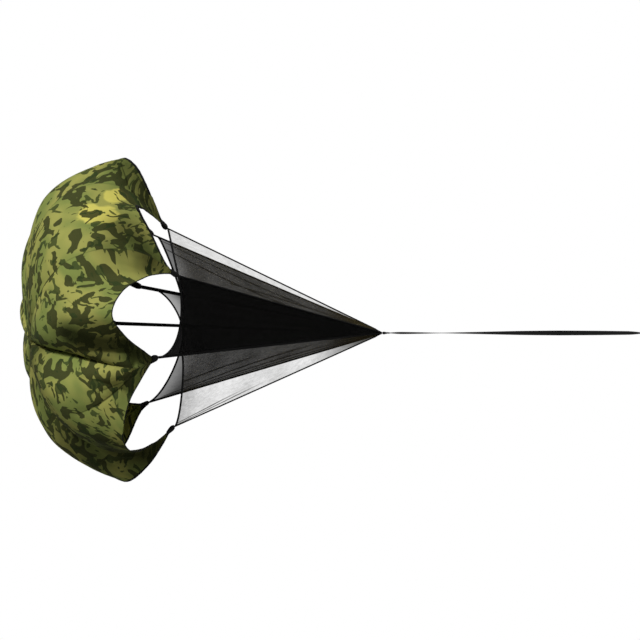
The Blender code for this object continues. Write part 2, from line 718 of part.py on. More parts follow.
def gate(material):
    """Sprung gate: a knuckle on the pin and a bar that closes the throat under the nose."""
    pivot = gate_pivot()
    half = Vector((0, GATE_WIDTH / 2, 0))
    thing = round_bar("gate", [pivot - half, pivot + half], KNUCKLE_RADIUS, material)
    tip = -(NOSE_GAP - GATE_OVERLAP)
    bar = box("gate_bar_guide", (pivot.x, -GATE_WIDTH / 2, pivot.z - GATE_BAR / 2),
              (tip, GATE_WIDTH / 2, pivot.z + GATE_BAR / 2), None)
    bevel = bar.modifiers.new("edges", "BEVEL")
    bevel.width = GATE_BAR * 0.12
    bevel.segments = 2
    boolean(thing, bar, "UNION")
    across = Vector((0, GATE_WIDTH, 0))
    bore = round_bar("gate_cutter", [pivot - across, pivot + across], PIN_RADIUS + CLEARANCE, None)
    boolean(thing, bore, "DIFFERENCE")
    return thing


def gate_pin(material):
    pivot = gate_pivot()
    half = Vector((0, HEAD_WIDTH / 2, 0))
    return round_bar("gate_pin", [pivot - half, pivot + half], PIN_RADIUS, material)


def spring_place():
    """Foot and head of the gate's spring."""
    pivot = gate_pivot()
    x = pivot.x + KNUCKLE_RADIUS + SPRING_RADIUS
    foot = -SLOT_FLOOR + SPRING_WIRE / 2 + CLEARANCE
    head = pivot.z - GATE_BAR / 2 - SPRING_WIRE / 2 - CLEARANCE
    return x, foot, head


def gate_spring(material):
    x, foot, head = spring_place()
    steps = 10 * SPRING_TURNS
    points = []
    for i in range(steps + 1):
        angle = math.tau * SPRING_TURNS * i / steps
        rise = foot + (head - foot) * i / steps
        points.append(Vector((x + SPRING_RADIUS * math.cos(angle), SPRING_RADIUS * math.sin(angle), rise)))
    spring = round_bar("gate_spring", points, SPRING_WIRE / 2, material)
    pitch = (head - foot) / SPRING_TURNS
    print("gate_spring least gap between turns, mm:", round((pitch - SPRING_WIRE) * 1000, 3))
    return spring


def build():
    clear_scene()
    camo = make_material("camo_cloth", (0.20, 0.22, 0.08), 0.6)
    binding = make_material("black_binding", (0.012, 0.012, 0.012), 0.7)
    net = make_material("black_mesh", (0.03, 0.03, 0.028), 0.8)
    cord = make_material("black_line", (0.015, 0.015, 0.015), 0.6)
    webbing = make_material("black_webbing", (0.02, 0.02, 0.02), 0.65)
    nickel = make_material("nickel", (0.62, 0.60, 0.57), 0.28, 1.0)
    steel = make_material("spring_steel", (0.45, 0.45, 0.46), 0.35, 1.0)
    for index in range(CORNERS):
        gore(index, camo)
        hem_binding(index, binding)
        corner_patch(index, binding)
        line(index, cord)
    crown_patch(camo)
    for number, panel in enumerate(MESH_SHARES):
        mesh_panel(number, panel, net)
        mesh_hem(number, panel, binding)
    line_gather(cord)
    line_knot(cord)
    strap_pocket(webbing)
    strap(webbing)
    swivel_eye(nickel)
    hook_body(nickel)
    gate(nickel)
    gate_pin(steel)
    gate_spring(steel)


build()
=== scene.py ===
"""Looks of the speed parachute: camouflage canopy, black mesh cone, twisted strap and snap hook."""
import math

import bmesh
import bpy
import numpy as np
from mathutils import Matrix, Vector


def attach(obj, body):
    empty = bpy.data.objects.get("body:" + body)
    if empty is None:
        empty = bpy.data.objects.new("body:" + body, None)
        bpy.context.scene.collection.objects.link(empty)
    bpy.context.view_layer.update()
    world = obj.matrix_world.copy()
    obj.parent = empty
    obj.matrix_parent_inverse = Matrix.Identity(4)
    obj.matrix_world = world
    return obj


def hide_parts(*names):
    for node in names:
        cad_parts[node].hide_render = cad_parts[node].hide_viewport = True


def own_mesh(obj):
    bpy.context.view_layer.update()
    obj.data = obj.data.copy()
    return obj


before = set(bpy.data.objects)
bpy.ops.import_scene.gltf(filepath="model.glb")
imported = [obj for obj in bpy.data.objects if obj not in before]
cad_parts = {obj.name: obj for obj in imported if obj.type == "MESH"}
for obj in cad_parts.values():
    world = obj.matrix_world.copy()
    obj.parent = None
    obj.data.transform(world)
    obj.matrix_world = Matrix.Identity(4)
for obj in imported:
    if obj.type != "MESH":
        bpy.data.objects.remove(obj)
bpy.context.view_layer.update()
SCENE = bpy.context.scene

# Sizes, in metres
EYE_BAR_X = -0.0575
STRAP_RUN = 0.941
KNOT = np.array([EYE_BAR_X - STRAP_RUN, 0.0, 0.0])
CROWN_REACH = 1.152
SHOULDER_DEPTH = 0.298
MOUTH_RADIUS = 0.522
MOUTH_RISE = 0.038
CLOTH_THICKNESS = 0.0004
BINDING_WIDTH = 0.006
BINDING_THICKNESS = 0.0018
PATCH_LENGTH = 0.026
PATCH_THICKNESS = 0.0024
PATCH_TIP_WIDTH = 0.017
PATCH_MARGIN = 0.0015
PATCH_BODY = 0.0068
TAB_SHARES = [1.15, 0.6, 1.4, 0.9, 0.6, 1.0, 0.8, 0.8]  # bulk of each corner's tab
LINE_WIDTH = 0.0042
LINE_THICKNESS = 0.0040
MESH_THICKNESS = 0.0005
MESH_HEM_WIDTH = 0.0055
MESH_HEM_THICKNESS = 0.0046
NECK_RADIUS = 0.0016
KNOT_RADIUS = 0.0032
STRAP_WIDTH = 0.020
STRAP_THICKNESS = 0.0016
STRAP_TAIL = 0.045
FLARE_X = EYE_BAR_X - 0.030  # where the strap parts to go round the eye
POCKET_LENGTH = 0.018
WIRE_RADIUS = 0.0020
CLEARANCE = 0.0004
PLY = STRAP_THICKNESS + CLEARANCE

# Stage
FLOOR_LEVEL = -1.30
FLOOR_MIDDLE = -1.1
FLOOR_RADIUS = 5.0
FLOOR_GREYS = (0.3, 0.8)  # to the light and to the camera
FLOOR_GLOW = 0.75
WORLD_LEVEL = 0.18
LAMPS = [("key", (-0.72, -0.62, 0.7), 3.2, 10), ("fill", (0.9, -0.3, 0.35), 0.35, 60)]
PIXEL = 0.0032
PICTURE_MIDDLE = 320  # in pixels, both ways
KNOT_PIXEL = (383.5, 333)
CAMERA_TURN = math.radians(12.4)
CAMERA_DISTANCE = 40.0
SENSOR = 36

# The canopy's shape, as the CAD solids have it: shares of the sizes above
CORNER_TURNS = [20, 60, 111, 162, 220, 270, 294, 341]
VALLEY_SHARES = [0.0, 0.1, 0.75, 0.15, 0.45, 0.1, 0.3, 0.15]
LOBE_SHARES = [
    (0, 0), (-0.015, 0.17), (-0.01, 0.345), (0.03, 0.51), (0.11, 0.645),
    (0.235, 0.76), (0.46, 0.865), (0.73, 0.945), (1, 1)
]
DEEP_SHARES = [
    (0, 0), (0.11, 0.145), (0.26, 0.28), (0.41, 0.415), (0.56, 0.565),
    (0.665, 0.705), (0.775, 0.835), (0.86, 0.91), (0.99, 0.89)
]
RISE_SHARES = [(-0.58,), (-0.25,), (0.17,), (0.58,), (0.92,), (1.08,), (1.17,), (1.08,), (1,)]
CORNER_RISE_SHARE = 0.42
SEAM_SHARES = [1.0, 0.985, 0.91, 0.91, 0.91, 0.91, 0.91, 0.91]
SEAM_LAG_SHARE = 0.33
NOD_SHARE = 0.07
SKEW_SHARE = 0.08
HEM_SHARES = [
    [(0, 1.385, 0.655), (0.17, 1.26, 0.725), (0.3, 1.075, 0.82), (0.44, 0.99, 0.865),
     (0.68, 1.11, 0.805), (0.93, 1.245, 0.725), (1, 1.375, 0.645)],
    [(0, 1.375, 0.645), (0.14, 1.14, 0.765), (0.24, 0.97, 0.86), (0.37, 0.73, 0.92),
     (0.55, 0.6, 0.955), (0.7, 0.745, 0.855), (0.845, 0.955, 0.735), (1, 1.165, 0.57)],
    [(0, 1.165, 0.57), (0.18, 0.99, 0.71), (0.34, 0.85, 0.82), (0.58, 0.805, 0.92),
     (0.8, 0.99, 0.9), (0.93, 1.29, 0.75), (1, 1.475, 0.628)],
    [(0, 1.475, 0.628), (0.05, 1.375, 0.74), (0.12, 1.225, 0.875), (0.23, 1.03, 0.98),
     (0.5, 0.905, 0.91), (0.72, 1.16, 0.8), (0.9, 1.31, 0.675), (1, 1.4, 0.6)],
    [(0, 1.4, 0.6), (0.16, 1.27, 0.705), (0.33, 0.97, 0.86), (0.55, 0.755, 0.92),
     (0.8, 0.915, 0.8), (1, 1.12, 0.615)],
    [(0, 1.12, 0.615), (0.25, 0.99, 0.75), (0.5, 0.925, 0.8), (0.75, 1.095, 0.735),
     (1, 1.385, 0.63)],
    [(0, 1.385, 0.63), (0.15, 1.16, 0.765), (0.3, 0.905, 0.89), (0.55, 0.775, 0.95),
     (0.8, 1.075, 0.845), (1, 1.385, 0.61)],
    [(0, 1.385, 0.61), (0.12, 1.205, 0.8), (0.3, 0.99, 0.935), (0.5, 0.97, 0.98),
     (0.64, 1.02, 1.0), (0.73, 1.11, 0.965), (0.83, 1.185, 0.89), (0.93, 1.28, 0.775),
     (1, 1.385, 0.655)],
]
CORNERS = len(CORNER_TURNS)
ACROSS = np.array([0, 1.0, 0])
CORNER_DEPTH_SHARE = HEM_SHARES[0][0][1]
BEND = 3.5
CORNER_BEND = 12
LEG_BEND_SHARE = 0.58
LEG_SWELL = 2.0
BULGE = 2.4
HEM_REACH = 0.47
LEAN_EASE = 0.7
FOLD_SHARES = [1.3, 1.2, 1.9, 1.3, 1.3, 2.9, 2.9, 1.7]
# Mesh panels: first line, then for each of its two lines where the hem leaves it and is pulled to
MESH_SHARES = [
    (0, 0.012, 0.012, 0.012, 0.012), (1, 0.012, 0.02, 0.025, 0.15),
    (2, 0.115, 0.13, 0.012, 0.04), (4, 0.012, 0.09, 0.25, 0.29),
    (5, 0.25, 0.26, 0.065, 0.13), (6, 0.17, 0.18, 0.03, 0.045)
]
MESH_TURN_SHARE = 0.1
# Each mesh panel: the share of light that it stops, how much more passes near its open edge, the
# colour of its dusty thread, and its creases, each as start across, slope, start and end along
MESH_LOOKS = [
    (0.27, 0.0, (70, 62, 38), []),
    (0.995, 0.0, (8, 8, 7), []),
    (0.29, -0.22, (70, 62, 38), [(0.97, -0.34, 0.0, 0.5), (0.93, -0.42, 0.0, 0.4)]),
    (0.94, 0.17, (40, 36, 28), [
        (0.03, 0.35, 0.0, 0.9), (0.05, 0.55, 0.05, 0.8), (0.02, 0.2, 0.1, 0.95),
        (0.2, 0.5, 0.1, 0.5)]),
    (0.94, 0.30, (40, 36, 28), [(0.6, 0.3, 0.1, 0.7)]),
    (0.945, 0.13, (40, 38, 32), [
        (0.75, -0.6, 0.02, 0.7), (0.9, -0.45, 0.02, 0.8), (0.5, 0.1, 0.3, 0.9)]),
]
# The strap's twist: places as shares of its run, and its roll there in degrees
ROLL_SHARES = [
    (0, 0), (0.02, 0), (0.05, 19), (0.11, 14), (0.2, 0), (0.33, 18), (0.48, 39),
    (0.61, 50), (0.75, 43), (0.87, 32), (0.917, 0), (1, 0)
]
# Strokes painted on the camouflage: the pale ones are paler print that also stands in for a painted
# highlight, the dark ones are painted shade; both ends, breadth and strength
PALE_PRINT_AND_HIGHLIGHT_STROKES = [
    ((-2.01, -0.275, 0.38), (-1.965, -0.30, 0.372), 0.048, 1.0),
    ((-1.93, -0.22, 0.43), (-1.895, -0.2, 0.445), 0.034, 1.0)
]
PAINTED_SHADE_STROKES = [
    ((-1.855, -0.08, 0.535), (-1.775, -0.14, 0.385), 0.055, 0.9),
    ((-1.92, -0.345, 0.33), (-1.841, -0.376, 0.226), 0.065, 0.9),
    ((-1.97, -0.383, 0.278), (-1.90, -0.37, 0.26), 0.055, 0.6),
    ((-2.09, -0.365, -0.005), (-1.93, -0.408, -0.035), 0.052, 1.4),
    ((-1.93, -0.405, -0.045), (-1.81, -0.30, -0.085), 0.045, 1.2),
    ((-1.96, -0.21, -0.39), (-1.758, -0.108, -0.37), 0.080, 1.4),
    ((-2.17, -0.05, 0.06), (-2.14, -0.10, -0.18), 0.085, 0.8),
    ((-2.12, -0.12, -0.22), (-1.96, -0.08, -0.41), 0.085, 0.8)
]
# Folds in the cloth: both ends, how deep it lies and how dark the painted shade along its line is
FOLDS = [
    ((-1.865, -0.351, -0.115), (-2.051, -0.284, -0.255), 0.006, 0.9),
    ((-1.872, -0.348, -0.124), (-2.015, -0.329, -0.192), 0.003, 0.6),
    ((-1.943, -0.322, -0.272), (-1.893, -0.288, -0.29), -0.002, 0.0),
    ((-2.17, -0.229, 0.16), (-2.07, -0.335, 0.03), 0.004, 0.3),
    ((-1.871, -0.06, 0.54), (-1.838, -0.205, 0.395), 0.006, 0.9),
    ((-1.842, -0.08, 0.515), (-1.772, -0.135, 0.385), 0.002, 0.8),
    ((-1.825, -0.05, 0.515), (-1.768, -0.12, 0.385), 0.002, 0.6)
]
FOLD_BREADTH = 0.011
FOLD_FADE = 0.15  # how far behind a fold's own side of the canopy it stops
FOLD_TAPER = 0.002  # how much thinner a fold's line is at its ends

# The cloth's grid and finer shape, in metres
GORE_COLUMNS = 62
GORE_ROWS = 78
ROW_CROWDING = 1.25  # rows lie closer together towards the hem
CLOTH_START = 0.02
SEAM_JOIN = 1e-5
DISC_SHARE = 0.047  # how far down the gores the crown's disc reaches
DISC_RADIUS = 0.036
DISC_STANDOFF = 0.0014
DISC_THICKNESS = 0.0008
DISC_HOLD = 0.02  # run over which the cloth starts to ripple past the disc
SEAM_HOLD = 0.012  # and past a seam
PLEAT_WAVES = [(1, 1, 0), (1.73, 0.6, 1.3), (0.61, 0.4, 4.1)]  # pace, strength and start
# Ripples: length, run over which they start, run over which they fade, and depth
PUCKERS = (0.027, 0.008, 0.035, 0.0016)
GATHERS = (0.024, 0.008, 0.040, 0.0014)
CROWN_PLEATS = (0.022, 0.006, 0.10, 0.0016)
LEG_PLEATS = (0.030, 0.015, 0.09, 0.0030)
LEG_MIDDLE = 0.10  # how far from the hem the legs' pleats are deepest
LEG_RUN = 0.11
LEG_SLANT = 0.12
BILLOW_TURNS = (21, 17)
BILLOW_RUN = 0.06
BILLOW_DEPTH = 0.0030
VALLEY_SWELL = 0.017  # how far the cloth swells on either side of a deep valley
VALLEY_RUN = 0.05
VALLEY_EASES = (0.25, 0.12)  # run over which the swell starts at the crown and ends at the hem
OWN_PHASE = 0.37  # shift of the ripples from one gore to the next
PRINT_SHIFT = (1.73, 0.61)  # and of the pattern
PRINT_GATHER = 0.9  # how much closer the pattern lies at the hem
PRINT_RUN = 0.12
TAPE_SHARES = [1.3, 0.6, 0.6, 1.1, 1.0, 1.0, 1.0, 1.2]  # breadth of each gore's hem tape
TAPE_INSET = 0.985
TAPE_WAVE = (0.10, 260)  # depth and pace of its uneven edge

# Tabs, lines, mesh, knot and pocket
TAB_OVERRUN = 0.010  # how far a tab runs past its corner
TAB_WIDTHS = (0.6, 0.42)  # half way along and at its end, to the tip's width
TAB_DEPTHS = (0.8, 1.0, 0.6)
LINE_OVERRUN = 0.010
LINE_CLOSE = 0.03  # run over which the lines are drawn together
LINE_DRAW = 0.45
LINE_END = 0.008
MESH_GRID = (40, 60)
MESH_LEAD = 0.002
MESH_END = 0.965
MESH_RIPPLE = 0.0022
WHIP_SPAN = (-0.0145, -0.0050)  # from the knot
WHIP_RADII = (0.0050, 0.0024)
WHIP_THREAD = 0.0011
WHIP_TURNS = 9
WHIP_CORE_SPAN = (-0.0160, -0.0024)
WHIP_CORE_RADII = (0.0052, 0.0019, NECK_RADIUS)
KNOT_THREAD = 0.0013
KNOT_TURNS = (7, 3)
KNOT_SINK = 0.0007  # how far the thread's middle lies under the knot's surface
STITCH_THREAD = 0.0007
STITCH_LENGTH = 0.0026
STITCH_GAP = 0.0008
STITCH_RISE = 0.00022
SEAM_INSET = 0.0025  # from the strap's edges to its stitches
BOX_INSET = 0.004
# The pocket's outline: place along the strap from the knot, half width and half height
POCKET_ROWS = np.array([
    (-0.0012, 0.0080, 0.0043), (0.0000, 0.0084, 0.0045), (0.0022, 0.0090, 0.0044),
    (0.0045, 0.0096, 0.0038), (0.0075, 0.0099, 0.0030), (0.0108, 0.0100, 0.0023),
    (0.0145, 0.0100, 0.0022), (0.0184, 0.0100, 0.0021)])
POCKET_SEAMS = (0.0105, 0.0125, 0.0160)
POCKET_SEAM_HALF = 0.0078
POCKET_WALL = 0.0012
POCKET_MOUTH = 0.0036
POCKET_DENT = 0.0020
METAL_EDGE = 34  # edges bent by more than this many degrees stay sharp

# Finishes: colours from 0 to 255, spacings in metres
# SHADE is the colour of the painted shade in the dark strokes
OLIVE, MOSS, YELLOW, SHADE = (166, 165, 89), (130, 142, 75), (214, 206, 104), (22, 26, 8)
# CREASE_SHADE is the colour of the painted shade along the folds
RIPSTOP_YARN, SEAM_SHADE, CREASE_SHADE = (190, 196, 120), (26, 30, 16), (24, 28, 10)
CLOTH_GLOW = 0.17  # share of the light that comes through the cloth
# Blotches: shift, scale, detail, raggedness, threshold, strength and colour
BLOTCHES = [
    ((3.1, 1.7), 17.5, 1.7, 0.9, 0.535, 0.94, (58, 62, 34)),
    ((9.4, 5.2), 25.0, 1.8, 0.8, 0.6, 0.85, (50, 64, 34))
]
RIPSTOP_PITCH = 0.005
SEAM_STITCH_PITCH = 0.004
SEAM_ROWS = (0.0022, 0.0052)
TAPE_RIB_PITCH = 0.0012
TAPE_STITCH_PITCH = 0.0035
THREAD_LAY = 0.0009
MESH_PITCH = 0.0042
CREASE_LINE = (0.0042, 0.0006)
NET_CREASE_LINE = (0.0045, 0.0008)


# Curves and surface

def smooth(table, share):
    """Points of the smooth curve through the table's rows, at shares of their count."""
    table = np.array(table, float)
    place = np.clip(share, 0, 1) * (len(table) - 1)
    first = np.minimum(place.astype(int), len(table) - 2)
    u = (place - first)[..., None]
    ends = np.vstack([2 * table[0] - table[1], table, 2 * table[-1] - table[-2]])
    a, b, c, d = (ends[first + k] for k in range(4))
    return (2 * b + (c - a) * u + (2 * a - 5 * b + 4 * c - d) * u ** 2
            + (3 * b - a - 3 * c + d) * u ** 3) / 2


def cloth_profile(gore, turn, share):
    after = (gore + 1) % CORNERS
    valley = np.where(turn < 0.5, VALLEY_SHARES[gore], VALLEY_SHARES[after])[..., None]
    lobe, deep = smooth(LOBE_SHARES, share), smooth(DEEP_SHARES, share)
    low = np.where(turn < 0.5, SEAM_SHARES[gore], SEAM_SHARES[after])
    shallow = np.stack([lobe[..., 0] + (1 - low) * SEAM_LAG_SHARE * share, lobe[..., 1] * low], -1)
    seam = shallow + (deep - shallow) * valley
    return seam + (lobe - seam) * (1 - np.abs(2 * turn - 1) ** BULGE)[..., None]


def canopy_surface(gore, across, along):
    """Points of the cloth for arrays of shares: across from corner to corner, along to the hem."""
    across, along = np.broadcast_arrays(np.asarray(across, float), np.asarray(along, float))
    turn, depth_share, radius_share = np.moveaxis(smooth(HEM_SHARES[gore], across), -1, 0)
    first, second = CORNER_TURNS[gore], CORNER_TURNS[(gore + 1) % CORNERS]
    second += 360 if second < first else 0
    angle = np.radians(first + (second - first) * turn)
    reach = np.minimum(1, 1 - HEM_REACH + HEM_REACH * depth_share)
    leg = np.maximum(0, (depth_share - 1) / (CORNER_DEPTH_SHARE - 1))
    extra = (CORNER_BEND - BEND) * LEG_BEND_SHARE * leg
    pull = np.stack([along ** (BEND + extra), along ** (BEND + extra * LEG_SWELL)], -1)
    share = reach * along
    hem = np.stack([depth_share, radius_share], -1)
    flat = cloth_profile(gore, turn, share) + (hem - cloth_profile(gore, turn, reach)) * pull
    rise = smooth(RISE_SHARES, share)[..., 0] + (CORNER_RISE_SHARE - 1) * leg * pull[..., 0]
    radius = flat[..., 1] * MOUTH_RADIUS
    lean = np.maximum(0, 1 - share) ** LEAN_EASE
    x = KNOT[0] - CROWN_REACH + flat[..., 0] * SHOULDER_DEPTH
    x = x - radius * lean * (SKEW_SHARE * np.sin(angle) + NOD_SHARE * np.cos(angle))
    return np.stack([x, -radius * np.sin(angle), radius * np.cos(angle) + rise * MOUTH_RISE], -1)


def canopy_point(gore, across, along):
    return canopy_surface(gore % CORNERS, np.array([across]), np.array([along]))[0]


def corner_tip(corner):
    return canopy_point(corner, 0, 1)


def line_at(corner, share):
    tip = corner_tip(corner)
    return tip + (KNOT - tip) * share


def in_plane(x, z):
    """Points in the upright plane of the pull line."""
    return np.stack([x, 0 * x, z + 0 * x], -1)


def unit(vector):
    return vector / np.maximum(np.linalg.norm(vector, axis=-1, keepdims=True), 1e-12)


def lengths(points, axis):
    """Distances along one axis of a grid of points, from its start."""
    steps = np.linalg.norm(np.diff(points, axis=axis), axis=-1)
    start = np.zeros_like(np.take(steps, [0], axis=axis))
    return np.concatenate([start, np.cumsum(steps, axis=axis)], axis=axis)


# Mesh helpers

def place_grid(bm, points, uv, marks=None):
    """Adds a grid of faces whose corners lie at the points, with its own UV map and marks."""
    nx, ny = points.shape[0] - 1, points.shape[1] - 1
    uv_layer = bm.loops.layers.uv.verify()
    made = bmesh.ops.create_grid(bm, x_segments=nx, y_segments=ny, size=1)["verts"]
    index = {}
    for vert in made:
        index[vert] = (round((vert.co.x + 1) / 2 * nx), round((vert.co.y + 1) / 2 * ny))
    for face in {face for vert in made for face in vert.link_faces}:
        for loop in face.loops:
            loop[uv_layer].uv = uv[index[loop.vert]]
    for vert, at in index.items():
        vert.co = points[at]
        for name, values in (marks or {}).items():
            vert[bm.verts.layers.float[name]] = values[at]


def placed(name, data):
    made = bpy.data.objects.new(name, data)
    SCENE.collection.objects.link(made)
    return made


def finish_mesh(name, bm, material, slot, body, nodes=(), thickness=0, angle=40):
    mesh = bpy.data.meshes.new(name)
    bm.to_mesh(mesh)
    bm.free()
    piece = placed(name, mesh)
    mesh.materials.append(material)
    mesh.shade_smooth()
    if thickness:
        solidify = piece.modifiers.new("thickness", "SOLIDIFY")
        solidify.thickness = thickness
        solidify.offset = 0
    else:
        mesh.set_sharp_from_angle(angle=math.radians(angle))
    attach(piece, body)
    if nodes:
        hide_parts(*nodes)
    return piece


def flat_section(width, thickness, sides=16, squareness=0.35):
    """Outline of a flat tape with rounded edges, across and up, closed on its first point."""
    angle = np.linspace(0, math.tau, sides + 1)
    across = np.sign(np.cos(angle)) * np.abs(np.cos(angle)) ** squareness * width / 2
    up = np.sign(np.sin(angle)) * np.abs(np.sin(angle)) ** squareness * thickness / 2
    return np.stack([across, up], -1)


def sweep(bm, route, sides, ups, section):
    """A closed body whose outline follows a route; each route point has its two directions."""
    section = np.broadcast_to(section, (len(route),) + np.shape(section)[-2:])
    points = (route[:, None] + sides[:, None] * section[..., :1] + ups[:, None] * section[..., 1:])
    uv = np.stack([np.broadcast_to(lengths(section[:1], 1), points.shape[:2]),
                   np.broadcast_to(lengths(route[:, None], 0), points.shape[:2])], -1)
    old = set(bm.verts)
    place_grid(bm, points, uv)
    fresh = [vert for vert in bm.verts if vert not in old]
    bmesh.ops.remove_doubles(bm, verts=fresh, dist=1e-6)
    fresh = [vert for vert in bm.verts if vert not in old]
    rims = {edge for vert in fresh for edge in vert.link_edges if edge.is_boundary}
    bmesh.ops.holes_fill(bm, edges=list(rims), sides=0)
    faces = {face for vert in fresh for face in vert.link_faces}
    bmesh.ops.recalc_face_normals(bm, faces=list(faces))


def straight_frames(route, side):
    """Directions across and up for every point of a route, kept square to its run."""
    run = unit(np.gradient(route, axis=0))
    side = np.broadcast_to(side, route.shape)
    side = unit(side - run * np.sum(side * run, -1, keepdims=True))
    return side, np.cross(run, side)


def varied(outline, across, up):
    """The outline scaled across and up for each point of a route."""
    return outline[None] * np.stack([across, up], -1)[:, None]


def sweep_flat(bm, route, side, section):
    sweep(bm, route, *straight_frames(route, side), section)


def swept_piece(name, route, side, section, *finish):
    """A piece whose outline follows a route, with its breadth to the side."""
    bm = bmesh.new()
    sweep_flat(bm, route, side, section)
    return finish_mesh(name, bm, *finish)


# Shader maths

def join(tree, target, value):
    """Sets an input, or links it to another node's output."""
    if isinstance(value, Number):
        value = value.socket
    if isinstance(value, bpy.types.NodeSocket):
        tree.links.new(value, target)
    else:
        target.default_value = value


def add_node(tree, kind, settings=None, values=()):
    made = tree.nodes.new(kind)
    for key, value in (settings or {}).items():
        setattr(made, key, value)
    pairs = values.items() if isinstance(values, dict) else enumerate(values)
    for key, value in pairs:
        join(tree, made.inputs[key], value)
    return made


class Number:
    """A socket that carries a number, with arithmetic that adds Math nodes."""

    def __init__(self, finish, socket):
        self.finish, self.socket = finish, socket

    def math(self, operation, *values):
        return self.finish.number("ShaderNodeMath", {"operation": operation}, values)

    def __add__(self, other):
        return self.math("ADD", self, other)

    def __sub__(self, other):
        return self.math("SUBTRACT", self, other)

    def __rsub__(self, other):
        return self.math("SUBTRACT", other, self)

    def __mul__(self, other):
        return self.math("MULTIPLY", self, other)

    def __pow__(self, other):
        return self.math("POWER", self, other)

    def wave(self, pitch):
        """Waves of the given length, from -1 to 1."""
        return self.math("SINE", self * (math.tau / pitch))

    def ribs(self, pitch):
        """Waves of the given length, from 0 to 1."""
        return self.wave(pitch) * 0.5 + 0.5

    def size(self):
        return self.math("ABSOLUTE", self)

    def least(self, other):
        return self.math("MINIMUM", self, other)

    def most(self, other):
        return self.math("MAXIMUM", self, other)

    __radd__ = __add__
    __rmul__ = __mul__


class Finish:
    """A material under construction: its Principled shader and the nodes that vary it."""

    def __init__(self, name, colour, roughness, shine=0.5, metallic=0.0):
        self.material = bpy.data.materials.new(name)
        self.material.use_nodes = True
        self.tree = self.material.node_tree
        self.shader = self.tree.nodes["Principled BSDF"]
        self.set("Base Color", (*srgb(colour), 1))
        self.set("Roughness", roughness)
        self.set("Specular IOR Level", shine)
        self.set("Metallic", metallic)

    def node(self, kind, settings=None, values=()):
        return add_node(self.tree, kind, settings, values)

    def number(self, kind, settings=None, values=(), output=0):
        return Number(self, self.node(kind, settings, values).outputs[output])

    def set(self, name, value):
        join(self.tree, self.shader.inputs[name], value)

    def mapped(self, place, scale, offset=(0, 0, 0)):
        values = {"Vector": place, "Location": offset, "Scale": scale}
        return self.node("ShaderNodeMapping", None, values).outputs[0]

    def flat(self, scale=(1, 1, 1), offset=(0, 0, 0)):
        """The piece's own UV map in metres, scaled and shifted."""
        return self.mapped(self.node("ShaderNodeUVMap").outputs[0], scale, offset)

    def solid(self, scale=(1, 1, 1)):
        """Object coordinates, scaled."""
        return self.mapped(self.node("ShaderNodeTexCoord").outputs["Object"], scale)

    def axes(self, vector):
        split = self.node("ShaderNodeSeparateXYZ", None, [vector])
        return [Number(self, split.outputs[k]) for k in range(3)]

    def noise(self, vector, scale, detail=2.0, roughness=0.5, distortion=0.0):
        values = {"Vector": vector, "Scale": scale, "Detail": detail, "Roughness": roughness,
                  "Distortion": distortion}
        return self.number("ShaderNodeTexNoise", None, values)

    def mark(self, name):
        return self.number("ShaderNodeAttribute", {"attribute_name": name}, output="Fac")

    def rise(self, value, low, high, start=0.0, end=1.0):
        """A smooth step of a value from low to high."""
        step, values = {"interpolation_type": "SMOOTHSTEP"}, [value, low, high, start, end]
        return self.number("ShaderNodeMapRange", step, values)

    def mix(self, share, *colours):
        """A mix of two colours; the node takes them at its inputs 6 and 7."""
        one, two = ((*srgb(c), 1) if isinstance(c, tuple) else c for c in colours)
        values = {"Factor": share, 6: one, 7: two}
        return self.node("ShaderNodeMix", {"data_type": "RGBA"}, values).outputs[2]

    def bump(self, height, distance, strength=1.0):
        values = {"Height": height, "Distance": distance, "Strength": strength}
        self.set("Normal", self.node("ShaderNodeBump", None, values).outputs[0])


def srgb(colour):
    """Scene values of a colour given in 0 to 255."""
    shares = [c / 255 for c in colour]
    return tuple(c / 12.92 if c <= 0.04045 else ((c + 0.055) / 1.055) ** 2.4 for c in shares)


# Materials

